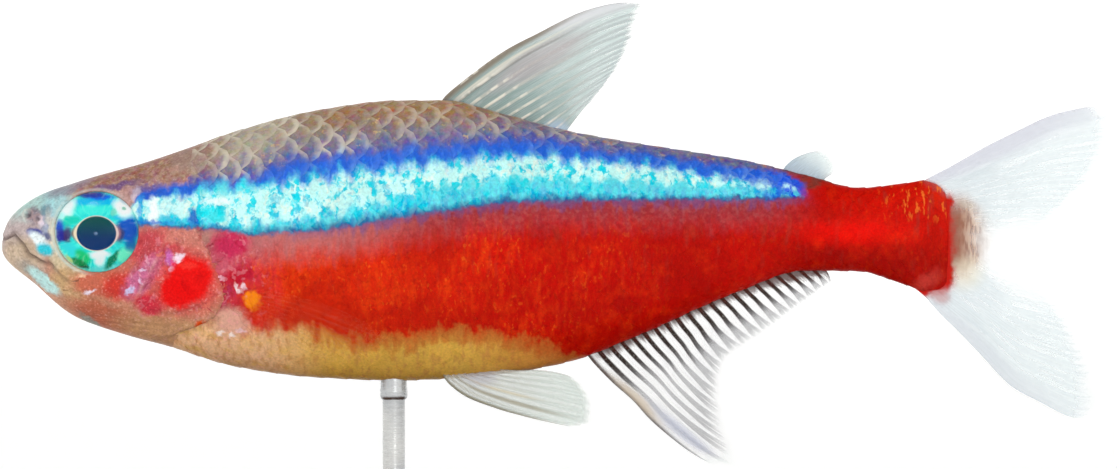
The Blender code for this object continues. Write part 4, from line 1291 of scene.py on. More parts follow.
def scales_mesh(name, sizes, side, draws):
    """All the scales of one side in one mesh, each laid on the body at its own place."""
    template, faces = one_scale(sizes)
    roots = scale_roots(sizes, draws)
    count, corners = len(roots), len(template)
    place, way, size, draw_x, draw_way, draw_high, tone = (column[:, None] for column in roots.T)
    pitch = sizes.scale_pitch / MM * pitch_share(size)
    row_gap = sizes.scale_row_gap / MM * size
    along = template[None, :, 0]
    across = template[None, :, 1]
    deep = template[None, :, 2]
    arc = 1.0 - np.sqrt(1.0 - (0.95 * across) ** 2)
    length = pitch * SCALE_OVERLAP
    bow = SCALE_BOW * pitch * arc * (0.35 + 0.65 * along)
    narrow = 1.0 - 0.22 * (1.0 - along) ** 2
    x = place + 0.04 * (draw_x - 0.5) - length * (1.0 - along) - bow
    way = way + 0.02 * (draw_way - 0.5) + across * row_gap * 1.04 * narrow
    x = np.clip(x, 0.2, BODY_LENGTH - 0.01) + np.clip(x - BODY_LENGTH + 0.01, 0.0, None)
    upper = way > 0.0
    quarter = np.where(upper, BODY.quarter(x, True), BODY.quarter(x, False))
    girth = np.clip(way / quarter, -1.25, 1.25)
    surface = BODY.points(np.clip(x, 0.2, BODY_LENGTH), girth)
    normals = BODY.normals(x, girth)
    lift = sizes.scale_lift / MM
    high = -0.004 - lift * (1.0 - along) - 0.006 * across ** 2 + 0.004 * (draw_high - 0.5) + deep
    high = high + gill_relief(x, surface[..., 2])
    points = surface + normals * high[..., None]
    points[..., 0] += np.clip(x - BODY_LENGTH, 0.0, None)
    points[..., 1] *= end_thinning(x) * side
    all_faces = [tuple(i * corners + corner for corner in face) for i in range(count) for face in faces]
    mesh = bpy.data.meshes.new(name)
    mesh.from_pydata(in_frame(points.reshape(-1, 3)), [], all_faces)
    if side < 0:
        mesh.flip_normals()
    add_numbers(mesh, "girth", girth.ravel())
    level = surface[..., 2]
    naked = np.where(level > NAPE_LEVEL, 1.0 - scaled_share(x, level, 1.5), 0.0)
    add_numbers(mesh, "naked", naked.ravel())
    add_numbers(mesh, "edge", np.broadcast_to(along, (count, corners)).ravel())
    add_numbers(mesh, "tone", np.broadcast_to(tone, (count, corners)).ravel())
    lay_scales_flat(mesh, roots, template, faces, side)
    return mesh


PATCH_SIZE = 0.0034


def lay_scales_flat(mesh, roots, template, faces, side):
    """Gives each scale a small patch of the bake's map at its root's place on the skin's unwrap."""
    x = roots[:, 0]
    middles = unwrapped(x, BODY.quarter(x, True) - roots[:, 1], side)
    outline = []
    for face in faces:
        corners = template[list(face)]
        top = corners[:, 2].min() > -1e-6
        under = corners[:, 2].max() < -1e-6
        for corner in corners:
            if top:
                spot = (corner[0] * 0.62, corner[1] * 0.5)
            elif under:
                spot = (-0.04 - corner[0] * 0.3, corner[1] * 0.5)
            else:
                spot = (0.64 + (corner[2] > -1e-6) * 0.05, corner[1] * 0.5)
            outline.append(spot)
    outline = np.array(outline) * PATCH_SIZE
    if side < 0:
        outline = flipped_corners(faces, outline)
    flat = (middles[:, None, :] + outline[None, :, :]).reshape(-1, 2)
    mesh.uv_layers.new(name="OFBake").data.foreach_set("uv", flat.astype(np.float32).ravel())


def flipped_corners(faces, outline):
    """The corners' places in the order that flipped faces have: first corner kept, the rest reversed."""
    turned = []
    start = 0
    for face in faces:
        size = len(face)
        turned.append(start)
        turned.extend(range(start + size - 1, start, -1))
        start += size
    return outline[turned]


class TETRA_OT_scales(bpy.types.Operator):
    """Make the scales of both sides as solid plates over the skin"""

    bl_idname = "tetra.scales"
    bl_label = "Scales"

    def execute(self, context):
        sizes = context.scene.tetra_sizes
        material = scale_material(markings(context))
        for word, side in (("left", -1.0), ("right", 1.0)):
            name = f"scales_{word}"
            mesh = scales_mesh(name, sizes, side, np.random.default_rng(SCALE_SEED))
            scales = bpy.data.objects.new(name, mesh)
            context.collection.objects.link(scales)
            shade_smooth(scales)
            select_only(scales)
            bpy.ops.object.shade_smooth_by_angle(angle=math.radians(50))
            finish_piece(scales, material, "flank")
        return {"FINISHED"}


# Ovals of colour on the iris, from the eye's middle, as for the head
IRIS_PATCHES = (
    ((10, 186, 232), (0, 0.92), 0.74, 0.13, 0, 0.45, 0.95),
    ((24, 100, 226), (0.16, 1.08), 0.44, 0.09, 0, 0.45, 0.95),
    ((48, 58, 160), (-0.14, 1.16), 0.44, 0.1, 0, 0.45, 0.95),
    ((96, 70, 120), (-0.2, 1.22), 0.22, 0.05, 0, 0.5, 0.7),
    ((60, 236, 222), (-0.02, 0.68), 0.54, 0.15, 0, 0.5, 0.9),
    ((232, 254, 246), (-0.96, 0.66), 0.44, 0.24, 50, 0.45, 1),
    ((168, 244, 236), (-1.12, 0.44), 0.2, 0.16, 0, 0.5, 0.9),
    ((4, 208, 186), (-0.76, 0.34), 0.32, 0.14, 10, 0.4, 1),
    ((22, 84, 196), (-1.16, 0.12), 0.2, 0.24, 0, 0.45, 1),
    ((34, 38, 150), (-1.08, -0.14), 0.25, 0.24, 0, 0.4, 1),
    ((66, 44, 104), (-0.86, -0.1), 0.14, 0.26, 0, 0.45, 0.95),
    ((44, 216, 220), (-0.8, -0.52), 0.34, 0.14, -30, 0.4, 1),
    ((6, 196, 118), (-0.38, -0.8), 0.28, 0.18, -40, 0.4, 1),
    ((8, 140, 74), (-0.5, -0.98), 0.32, 0.12, -30, 0.4, 1),
    ((196, 212, 120), (-0.84, -0.86), 0.16, 0.08, -50, 0.5, 0.85),
    ((24, 84, 64), (-0.34, -1.1), 0.16, 0.05, -10, 0.5, 0.8),
    ((104, 226, 224), (0.3, -1.12), 0.46, 0.09, 10, 0.5, 0.95),
    ((236, 254, 253), (0.14, -0.72), 0.3, 0.13, 0, 0.4, 1),
    ((232, 252, 252), (0.16, -0.9), 0.16, 0.16, 0, 0.45, 1),
    ((0, 128, 92), (0.58, -0.84), 0.38, 0.1, 50, 0.4, 1),
    ((112, 248, 204), (0.92, -0.72), 0.28, 0.18, 50, 0.38, 1),
    ((0, 112, 176), (1.14, -0.4), 0.18, 0.2, 0, 0.5, 0.95),
    ((0, 84, 192), (1.04, 0.08), 0.34, 0.42, 0, 0.35, 1),
    ((52, 60, 112), (0.78, -0.06), 0.13, 0.27, 0, 0.45, 0.95),
    ((20, 190, 226), (0.92, 0.44), 0.34, 0.07, 0, 0.5, 0.9),
    ((240, 254, 250), (0.92, 0.74), 0.34, 0.26, -40, 0.42, 1),
    ((120, 214, 190), (0.6, 0.6), 0.1, 0.12, 0, 0.5, 0.8),
    ((104, 176, 150), (0.92, 0.7), 0.055, 0.06, 0, 0.5, 0.8),
    ((196, 210, 226), (0.86, 1), 0.2, 0.08, -40, 0.5, 0.8),
)


def iris_material():
    """Bands and blocks of colour round a dark pupil in a thin cream ring, with a painted glint in the pupil's
    middle.
    """
    material, shader, g = new_material("tetra_iris")
    place = g.fish_place()
    x, _, z = g.parts(g.vector("SUBTRACT", place, (EYE_PLACE[0] - 0.01, 0.0, EYE_PLACE[1])))
    flat = g.vector("ADD", g.joined(x, 0, z), g.drift(place, 3.6, 3, 0.2, 0.2))
    radius = g.number("radius")
    turned = g.math("ARCTAN2", z, x)
    threads = g.noise(g.joined(g.times(turned, 5), g.times(radius, 1.2), 0), 3, 3)
    ground = g.mix(g.swing(threads, 0.38, 0.62), (20, 214, 212), (66, 236, 224))
    ground = g.paint(flat, ground, IRIS_PATCHES)
    ground = g.mix(g.swing(threads, 0.55, 0.75, 0, 0.22), ground, (200, 250, 246))
    edge = g.swing(g.plus(g.times(x, 0.9), g.times(z, 0.25)), -0.3, -1.1, 0.12, 0.9)
    rim = g.swing(g.plus(radius, g.times(threads, 0.06)), 1.27, 1.36)
    ground = g.mix(g.times(rim, edge), ground, (206, 232, 222))
    ground = g.mix(1, ground, Color((1.14, 1.14, 1.14)), "MULTIPLY")
    beside = g.swing(g.math("ABSOLUTE", g.plus(z, 0.05)), 0.42, 0)
    wider = g.swing(x, -0.3, 0.3, 0.075, 0.045)
    ring_wide = g.math("MULTIPLY_ADD", beside, wider, PUPIL_RADIUS + 0.022)
    past = g.minus(radius, ring_wide)
    brown = g.times(beside, g.swing(past, 0.11, 0.02))
    rusty = g.mix(g.swing(x, -0.4, 0.4), (158, 92, 70), (176, 116, 126))
    ground = g.lay(ground, rusty, brown, 0.85)
    tint = g.mix(g.swing(x, -0.4, 0.4), (250, 232, 200), (240, 214, 206))
    ground = g.mix(g.swing(past, 0.03, -0.02), ground, tint)
    pupil = g.mix(g.swing(z, -0.34, 0.4), (0, 52, 112), (0, 80, 80))
    # A painted glint in the pupil's middle
    pupil = g.mix(g.swing(radius, 0.075, 0.03), pupil, (112, 150, 190))
    ground = g.mix(g.swing(radius, PUPIL_RADIUS + 0.006, PUPIL_RADIUS - 0.006), ground, pupil)
    ground = g.mix(g.swing(radius, 1.4, 1.46), ground, (40, 44, 50))
    grain = g.plus(threads, g.noise(place, 7, 2))
    bump = g.bump(0.4, 0.03, grain)
    rough = g.swing(radius, 0.55, 0.6, 0.2, 0.38)
    finish_look(g, shader, ground, rough, bump, Specular_IOR_Level=0.04)
    return material


def cornea_material():
    """Clear, with the gloss of a wet front."""
    material, shader, g = new_material("tetra_cornea")
    tree = g.tree
    tree.nodes.remove(shader)
    clear = tree.nodes.new("ShaderNodeBsdfTransparent")
    gloss = tree.nodes.new("ShaderNodeBsdfGlossy")
    gloss.inputs["Roughness"].default_value = 0.04
    fresnel = tree.nodes.new("ShaderNodeFresnel")
    fresnel.inputs["IOR"].default_value = 1.18
    mixed = tree.nodes.new("ShaderNodeMixShader")
    tree.links.new(fresnel.outputs[0], mixed.inputs[0])
    tree.links.new(clear.outputs[0], mixed.inputs[1])
    tree.links.new(gloss.outputs[0], mixed.inputs[2])
    tree.links.new(mixed.outputs[0], tree.nodes["Material Output"].inputs["Surface"])
    return material


def iris_height(radius):
    """The eye's coloured face from its middle out: the lens, a small step, the iris and its rim."""
    lens = 0.565 + 0.145 * np.sqrt(np.clip(1.0 - (radius / 0.64) ** 2, 0.0, 1.0))
    iris = dome(radius) - 0.03 - 0.115 * (1.0 - smooth(radius, 0.55, 1.36))
    ring = 0.022 * hill(radius - 0.63, 0.035)
    return np.where(radius < PUPIL_RADIUS, lens, iris + ring)


def from_front(mesh):
    """For a ball's vertices: the angle from its front pole and the turn round it."""
    points = read_points(mesh)
    polar = np.arctan2(np.hypot(points[:, 0], points[:, 1]), points[:, 2])
    return polar, np.arctan2(points[:, 1], points[:, 0])


def eye_points(radius, turn, high, shifted=0.0):
    """Points of the right eye in the fish's own measures."""
    middle, along, up, out = eye_axes()
    flatter = EYE_HIGH / EYE_ACROSS
    level = radius * np.cos(turn) * (1.0 + 0.05 * shifted) + PUPIL_SHIFT[0] * shifted
    upright = radius * np.sin(turn) * flatter * (1.0 - 0.06 * shifted) + PUPIL_SHIFT[1] * shifted
    return middle + along * level[:, None] + up * upright[:, None] + out * high[:, None]


class TETRA_OT_eyes(bpy.types.Operator):
    """Make both eyes: a ball with a coloured iris and lens, and a clear front over it"""

    bl_idname = "tetra.eyes"
    bl_label = "Eyes"

    def execute(self, context):
        ball = start_ball("eye_right_ball", 96, 80)
        polar, turn = from_front(ball.data)
        front = polar <= math.pi / 2 + 1e-4
        spread = np.clip(polar / (math.pi / 2), 0.0, 1.0)
        past = np.clip(polar - math.pi / 2, 0.0, None)
        radius = BALL_RADIUS * np.where(front, spread, np.cos(past))
        behind = -0.8 * np.sin(past)
        edge = iris_height(np.array([BALL_RADIUS]))[0]
        high = np.where(front, iris_height(radius), edge + behind)
        shifted = np.where(front, 1.0 - smooth(radius, 0.7, 1.3), 0.0)
        write_points(ball.data, in_frame(eye_points(radius, turn, high, shifted)))
        add_numbers(ball.data, "radius", np.where(front, radius, 1.5))
        shade_smooth(ball)

        clear = start_ball("eye_right_cornea", 64, 48)
        polar, turn = from_front(clear.data)
        folded = np.where(polar <= math.pi / 2, polar, math.pi - polar)
        radius = CORNEA_RADIUS * np.sin(folded)
        high = dome(radius) - 0.022 * (polar > math.pi / 2 + 1e-4)
        write_points(clear.data, in_frame(eye_points(radius, turn, high)))
        shade_smooth(clear)

        iris = iris_material()
        cornea = cornea_material()
        for piece, material in ((ball, iris), (clear, cornea)):
            left = mirrored_copy(piece, piece.name.replace("right", "left"))
            for eye, word in ((piece, "right"), (left, "left")):
                finish_piece(eye, material, "eye", f"eye_{word}")
        return {"FINISHED"}


def curve_points(points, shares):
    """Places along a smooth curve through the given points, by share of its length."""
    points = np.array(points, float)
    ends = np.concatenate((2 * points[:1] - points[1:2], points, 2 * points[-1:] - points[-2:-1]))
    t = np.linspace(0.0, 1.0, 12, endpoint=False)[:, None]
    run = []
    for i in range(1, len(ends) - 2):
        before, here, there, after = ends[i - 1:i + 3]
        bend = (2 * before - 5 * here + 4 * there - after) * t * t
        swing = (3 * here - before - 3 * there + after) * t ** 3
        run.append(0.5 * (2 * here + (there - before) * t + bend + swing))
    run.append(points[-1:])
    run = np.concatenate(run)
    steps = np.linalg.norm(np.diff(run, axis=0), axis=1)
    travelled = np.concatenate(((0.0,), np.cumsum(steps)))
    travelled /= travelled[-1]
    return np.stack([np.interp(shares, travelled, run[:, i]) for i in range(2)], axis=-1)


class FinShape:
    """A fin in its own flat plane: its base, its outer margin, and the points of its first and last
    rays between the two, as (x, z).

    Stiff says how soon the rays beside the first and last ones run straight, and crowd how much
    closer together the last rays end.
    """

    def __init__(self, base, margin, first, last, rays, stiff=1.0, crowd=1.0):
        self.base, self.margin = base, margin
        self.first = (base[0], *first, margin[0])
        self.last = (base[-1], *last, margin[-1])
        self.rays, self.stiff, self.crowd = rays, stiff, crowd

    def points(self, across, along):
        """Across runs 0 to 1 from the first ray to the last, and along 0 to 1 from base to margin."""
        a = across[:, None]
        b = along[:, None]
        base = curve_points(self.base, across)
        margin = curve_points(self.margin, 1.0 - (1.0 - across) ** self.crowd)
        bows = []
        for ray in (self.first, self.last):
            chord = (1 - b) * np.array(ray[0]) + b * np.array(ray[-1])
            bows.append(curve_points(ray, along) - chord)
        straight = (1 - b) * base + b * margin
        return straight + (1 - a) ** self.stiff * bows[0] + a ** self.stiff * bows[1]

    def crest(self, across, along, fork_at):
        """1 on a ray's crest and 0 on the web. Each ray but the first two forks once or twice."""
        ray = across * (self.rays - 1)
        nearest = np.round(ray)
        offset = ray - nearest
        forks = smooth(along, fork_at, 1.0) * (nearest > 1.5)
        forks_again = smooth(along, fork_at + 0.3, 1.15) * (nearest > 1.5)
        width = 0.17 - 0.06 * along
        best = np.zeros(across.shape)
        for first in (-1, 1):
            for second in (-1, 1):
                middle = first * 0.25 * forks + second * 0.12 * forks_again
                best = np.maximum(best, hill(offset - middle, width))
        return best


DORSAL = FinShape(
    base=((13.72, 4.28), (15.7, 3.8), (17.55, 3.28)),
    margin=(
        (19.8, 7.56), (20.2, 7.51), (19.97, 7.09), (19.81, 6.47), (19.4, 5.64), (18.9, 4.95),
        (18.44, 4.45),
    ),
    first=((14.05, 4.74), (15.63, 5.94), (16.89, 6.62), (18.05, 7.2), (18.99, 7.48)),
    last=((18.05, 3.96),),
    rays=11,
    stiff=3.0,
)
CAUDAL = FinShape(
    base=((28.55, 1.72), (29.2, 1.2), (29.42, 0.22), (29.2, -0.8), (28.5, -1.3)),
    margin=(
        (34.62, 4.33), (34.92, 4.16), (34.99, 3.7), (34.81, 2.76), (34.31, 1.98), (33.37, 1.04),
        (32.65, 0.41), (32.1, -0.2), (32.49, -0.91), (33.37, -1.98), (33.9, -2.89), (34.31, -3.86),
        (34.47, -4.61), (34.45, -5.05), (34.21, -5.36),
    ),
    first=(
        (29.1, 2.05), (29.76, 2.39), (30.86, 3.01), (31.8, 3.48), (32.9, 3.99), (34.06, 4.27),
    ),
    last=(
        (28.95, -1.66), (29.44, -2.2), (30.07, -2.82), (30.7, -3.48), (31.64, -4.46),
        (32.58, -4.99), (33.37, -5.4), (33.84, -5.5),
    ),
    rays=23,
    stiff=2.0,
)
ANAL = FinShape(
    base=((18.3, -3.42), (20.0, -2.62), (23.17, -1.28), (25.75, -0.66)),
    margin=(
        (22.6, -7.05), (23, -7.05), (23.15, -6.88), (22.91, -6.09), (22.69, -5.46), (22.6, -4.6),
        (22.72, -3.83), (23.17, -3.36), (24.33, -2.57), (25.46, -1.7), (26.05, -1.24),
    ),
    first=(
        (18.6, -3.8), (19.18, -4.39), (19.81, -4.95), (20.43, -5.62), (21.38, -6.4), (22.13, -6.87),
    ),
    last=((25.95, -0.98),),
    rays=22,
    stiff=1.8,
    crowd=1.25,
)
PELVIC = FinShape(
    base=((13.8, -3.98), (14.3, -3.98), (14.9, -3.92)),
    margin=((18.03, -5.83), (18.4, -5.8), (18.56, -5.5), (18.5, -4.95), (18.25, -4.5), (17.9, -4.2)),
    first=((14.0, -4.36), (14.6, -4.83), (15.54, -5.21), (16.26, -5.43), (17.11, -5.65)),
    last=((16.0, -3.98), (17.1, -4.02)),
    rays=9,
    stiff=1.5,
)
PECTORAL = FinShape(
    base=((-0.25, 0.32), (-0.3, 0.0), (-0.25, -0.36)),
    margin=((4.6, 0.22), (4.92, 0.02), (4.8, -0.32), (4.3, -0.75), (3.6, -1.12)),
    first=((1.2, 0.55), (3.0, 0.52)),
    last=((1.1, -0.62), (2.4, -1.02)),
    rays=11,
)
ADIPOSE = FinShape(
    base=((24.45, 2.12), (25.0, 1.92), (25.65, 1.74)),
    margin=((25.94, 2.89), (26.18, 2.74), (26.26, 2.48), (26.13, 2.2)),
    first=((24.6, 2.42), (24.96, 2.7), (25.46, 2.87)),
    last=((25.85, 2.03),),
    rays=1,
)


class TetraFin:
    """What a fin is made with: its shape, its mesh's fineness, its place and its ripple."""

    def __init__(self, shape, columns, rows, ripple=0.0, fork_at=0.35, place=None, stout=1.0, fleshy=False):
        self.shape, self.columns, self.rows = shape, columns, rows
        self.ripple, self.fork_at, self.stout, self.fleshy = ripple, fork_at, stout, fleshy
        self.place = place or Matrix.Identity(4)

    def make(self, name, sizes):
        fin = start_piece(
            bpy.ops.mesh.primitive_grid_add, name,
            x_subdivisions=self.columns, y_subdivisions=self.rows, size=2.0,
        )
        grid = read_points(fin.data)
        across = np.clip((grid[:, 0] + 1.0) / 2.0, 0.0, 1.0)
        along = np.clip((grid[:, 1] + 1.0) / 2.0, 0.0, 1.0)
        web = sizes.fin_web / MM
        ray = sizes.fin_ray / MM * self.stout
        if self.fleshy:
            crest = np.full(across.shape, 0.4)
            edge = np.minimum(np.minimum(across, 1.0 - across) * 2.0, (1.0 - along)) * 2.0
            thickness = 0.05 + 0.22 * np.sqrt(np.clip(edge, 0.0, 1.0)) * (1.0 - 0.5 * along)
            reach = along
        else:
            crest = self.shape.crest(across, along, self.fork_at)
            thickness = web + (ray - web) * crest * (1.0 - 0.62 * along) * (1.0 - 0.25 * across)
            leading = hill(across * (self.shape.rays - 1), 0.9)
            thickness += 0.06 * leading * (1.0 - 0.7 * along)
            scallop = 0.01 * (1.0 - crest) + 0.01 * np.sin(across * 71.0) * np.sin(across * 29.0)
            reach = along * (1.0 - scallop * smooth(along, 0.75, 1.0))
        flat = self.shape.points(across, reach)
        sway = self.ripple * np.sin(across * 7.0 + 0.6) * smooth(along, 0.05, 1.0)
        points = np.stack((flat[:, 0], sway, flat[:, 1], np.ones(len(flat))), axis=-1)
        points = (points @ np.array(self.place).T)[:, :3]
        write_points(fin.data, in_frame(points))
        add_numbers(fin.data, "ray", crest)
        add_numbers(fin.data, "across", across)
        add_numbers(fin.data, "along", along)
        add_numbers(fin.data, "length", np.linalg.norm(flat - curve_points(self.shape.base, across), axis=-1))
        thickest = float(thickness.max())
        group = fin.vertex_groups.new(name="thickness")
        for i, share in enumerate(thickness / thickest):
            group.add([i], float(share), "REPLACE")
        apply_modifier(
            fin, "SOLIDIFY", "thickness", thickness=thickest * MM, offset=0.0, vertex_group="thickness"
        )
        fin.vertex_groups.clear()
        shade_smooth(fin)
        return fin


class FinLook:
    """A fin's colours: web and rays from root to tip, and how well each covers what is behind it."""

    def __init__(
        self, web, rays, web_cover, ray_cover, tints=(), dark_for=None, fade=0.07, crest=(0.25, 0.85)
    ):
        self.web, self.rays = web, rays
        self.web_cover, self.ray_cover = web_cover, ray_cover
        self.tints, self.dark_for, self.fade, self.crest = tints, dark_for, fade, crest


# Ovals on the fins, by the share across from the first ray and along from the base, with a cover
DORSAL_TINTS = (
    ((184, 162, 166), (0.2, 0.45), 0.11, 0.26, 0, 0.5, 0.55, 0.64),
    ((226, 226, 230), (0, 0.82), 0.11, 0.28, 0, 0.4, 0.85, 0.66),
    # A painted highlight and a painted shade on the two sides of the second ray
    ((240, 232, 216), (0.078, 0.28), 0.012, 0.36, 0, 0.6, 0.7, 0.8),
    ((104, 100, 98), (0.112, 0.25), 0.009, 0.36, 0, 0.6, 0.55, 0.72),
    ((140, 126, 108), (0, 0.26), 0.042, 0.46, 0, 0.45, 0.9, 0.85),
    ((172, 204, 236), (0.95, 0.12), 0.16, 0.18, 0, 0.5, 0.7, 0.5),
    ((90, 98, 124), (0.55, 0), 0.62, 0.05, 0, 0.5, 0.75, 0.8),
)
ANAL_TINTS = (
    ((104, 92, 86), (0, 0.25), 0.016, 0.5, 0, 0.5, 0.8, 0.85),
    ((224, 202, 168), (0.022, 0.38), 0.016, 0.18, 0, 0.6, 0.7, 0.7),
    ((190, 198, 226), (0.048, 0.66), 0.024, 0.2, 0, 0.6, 0.65, 0.55),
    ((212, 232, 226), (0.03, 0.96), 0.06, 0.07, 0, 0.5, 0.8, 0.4),
)
CAUDAL_TINTS = (
    ((204, 204, 219), (0, 0.42), 0.075, 0.56, 0, 0.5, 0.8, 0.52),
    ((202, 208, 218), (1, 0.4), 0.055, 0.46, 0, 0.5, 0.6, 0.46),
    ((238, 242, 244), (0.52, 0.82), 0.13, 0.4, 0, 0.6, 0.8, 0.15),
)
PELVIC_TINTS = (
    ((140, 134, 108), (0, 0.4), 0.05, 0.5, 0, 0.5, 0.85, 0.75),
    ((172, 164, 138), (0.24, 0.42), 0.035, 0.38, 0, 0.5, 0.7, 0.6),
    ((236, 226, 198), (0.4, 0.3), 0.03, 0.3, 0, 0.5, 0.7, 0.6),
    ((204, 202, 216), (0.62, 0.14), 0.3, 0.13, 0, 0.5, 0.6, 0.5),
)


def fin_material(name, look, extra=None):
    """A clear web between paler or darker rays, that thins out to nothing at the margin."""
    material, shader, g = new_material(name)
    across = g.number("across")
    along = g.number("along")
    ray = g.swing(g.number("ray"), *look.crest)
    place = g.fish_place()
    streak = g.noise(g.joined(g.times(across, 90), g.times(along, 5), 0), 1, 3)
    cloud = g.noise(place, 1.1, 3)
    out = g.swing(g.plus(along, g.about(cloud, 0.35)), 0.05, 0.95)
    ray_out = out
    if look.dark_for:
        length = g.plus(g.number("length"), g.about(streak, 0.8))
        ray_out = g.swing(length, 0.5 * look.dark_for, 1.6 * look.dark_for)
        ray_out = g.greater(ray_out, g.swing(along, 0.38, 0.8))
    colour = g.mix(ray, g.mix(out, *look.web), g.mix(ray_out, *look.rays))
    web_cover = g.times(g.swing(out, 0, 1, *look.web_cover), g.swing(streak, 0.3, 0.7, 0.75, 1.25))
    cover = g.mix_number(ray, web_cover, g.swing(ray_out, 0, 1, *look.ray_cover))
    colour, cover = g.tint(g.joined(across, 0, along), colour, cover, look.tints)
    joints = g.noise(g.joined(g.times(across, 160), g.times(along, 110), 0), 0.6, 1)
    colour = g.lay(colour, (244, 246, 240), g.times(ray, g.swing(joints, 0.5, 0.66)), 0.12)
    if extra:
        colour, cover = extra(g, place, across, along, ray, streak, colour, cover)
    end = g.plus(along, g.about(streak, 0.1))
    cover = g.times(cover, g.swing(end, 1, 1 - look.fade))
    g.tree.links.new(g.add("ShaderNodeClamp", {}, {0: cover}), shader.inputs["Alpha"])
    finish_look(g, shader, colour, g.swing(streak, 0.3, 0.7, 0.26, 0.42), Specular_IOR_Level=0.08)
    return material


def dorsal_root_highlights(g, place, across, along, ray, streak, colour, cover):
    """Painted highlights: bright short strokes on the rays at their roots."""
    root = g.times(g.swing(along, 0.4, 0.2), g.swing(along, 0.04, 0.1))
    stroke = g.times(g.times(ray, root), g.swing(g.noise(place, 2.4), 0.44, 0.56))
    colour = g.lay(colour, (246, 240, 226), stroke, 0.8)
    return colour, g.greater(cover, g.times(stroke, 0.85))


def anal_root_shade(g, place, across, along, ray, streak, colour, cover):
    """Painted shade: dark brown where the rays leave the body."""
    reach = g.plus(g.number("length"), g.about(streak, 0.5))
    shade = g.times(g.swing(reach, 0.62, 0.22), g.swing(across, 0, 0.08, 0.2, 0.8))
    colour = g.mix(shade, colour, (84, 26, 14))
    return colour, g.greater(cover, shade)


def caudal_root(g, place, across, along, ray, streak, colour, cover):
    """Red over the fin's root that breaks up into brown bars and a few yellow ones."""
    x, _, z = g.parts(place)
    bars = g.noise(g.stretched(place, (3.4, 1, 0.7)), 3, 3)
    ragged = g.about(g.noise(place, 2.4, 2), 0.5)
    away = g.times(g.greater(g.minus(x, 30.3), 0), 0.6)
    middle = g.swing(g.plus(g.math("ABSOLUTE", g.minus(z, 0.14)), away), 1.8, 0.6)
    fading = g.times(g.swing(g.plus(x, ragged), 31.6, 29.6), middle)
    brown = g.times(fading, g.swing(bars, 0.4, 0.62, 0.9, 1))
    haze = g.mix(g.swing(bars, 0.42, 0.58), (204, 166, 134), (158, 112, 86))
    shown = g.swing(brown, 0, 0.6)
    colour = g.mix(shown, colour, g.mix(g.swing(x, 29.9, 30.5), (158, 96, 72), haze))
    cover = g.greater(cover, g.times(brown, 0.96))
    spots = (
        ((176, 152, 110), (30.25, 1.22), 0.34, 0.14, -20, 0.7, 0.45, 0.5),
        ((238, 228, 186), (30.25, -0.95), 0.5, 0.45, 20, 0.7, 0.5, 0.4),
        ((206, 150, 150), (29.45, -1.6), 0.34, 0.26, -40, 0.5, 0.7, 0.8),
    )
    colour, cover = g.tint(g.joined(x, 0, z), colour, cover, spots)
    above = g.minus(g.math("MULTIPLY_ADD", x, -0.54, 17.65), z)
    under = g.minus(z, g.math("MULTIPLY_ADD", x, 0.35, -11.93))
    bounds = g.times(g.swing(g.plus(above, ragged), -0.12, 0.22), g.swing(g.plus(under, ragged), -0.12, 0.3))
    red = g.times(g.swing(g.plus(x, ragged), 30.04, 29.74), bounds)
    colour = g.mix(red, colour, (194, 20, 6))
    return colour, g.greater(cover, red)


class TETRA_OT_middle_fins(bpy.types.Operator):
    """Make the dorsal, adipose, anal and tail fins with their rays"""

    bl_idname = "tetra.middle_fins"
    bl_label = "Middle fins"

    def execute(self, context):
        sizes = context.scene.tetra_sizes
        for name, fin, look, extra, nodes in (
            (
                "dorsal_fin", TetraFin(DORSAL, 100, 56, 0.05, 0.4, stout=0.8),
                FinLook(
                    ((140, 164, 160), (192, 212, 208)), ((200, 204, 192), (160, 176, 176)),
                    (0.74, 0.42), (0.8, 0.5), DORSAL_TINTS, fade=0.06,
                ),
                dorsal_root_highlights, ("dorsal_fin",),
            ),
            (
                "adipose_fin", TetraFin(ADIPOSE, 24, 16, 0.0, 1.0, fleshy=True),
                FinLook(
                    ((178, 196, 212), (218, 234, 232)), ((178, 196, 212), (218, 234, 232)),
                    (0.8, 0.36), (0.8, 0.36), fade=0.3,
                ),
                None, ("adipose_fin",),
            ),
            (
                "anal_fin", TetraFin(ANAL, 176, 56, 0.06, 0.42),
                FinLook(
                    ((206, 204, 203), (226, 227, 230)), ((50, 38, 34), (160, 161, 165)),
                    (0.1, 0.16), (0.97, 0.42), ANAL_TINTS, dark_for=1.45, fade=0.22,
                    crest=(0.06, 0.5),
                ),
                anal_root_shade, ("anal_fin",),
            ),
            (
                "tail_fin", TetraFin(CAUDAL, 300, 64, 0.08, 0.28, stout=0.25),
                FinLook(
                    ((204, 216, 222), (222, 236, 238)), ((206, 219, 225), (214, 228, 232)),
                    (0.42, 0.3), (0.46, 0.33), CAUDAL_TINTS, fade=0.12,
                ),
                caudal_root, ("caudal_fin_upper", "caudal_fin_lower"),
            ),
        ):
            piece = fin.make(f"{name}_rays", sizes)
            finish_piece(piece, fin_material(f"tetra_{name}", look, extra), "fin", *nodes)
        return {"FINISHED"}


PELVIC_OUT = 0.55
PELVIC_HINGE = -4.2
PELVIC_SPLAY = math.radians(16)
PECTORAL_PLACE = (7.65, 1.9, -1.8)
PECTORAL_SPLAY = math.radians(17)
PECTORAL_DROOP = math.radians(14)


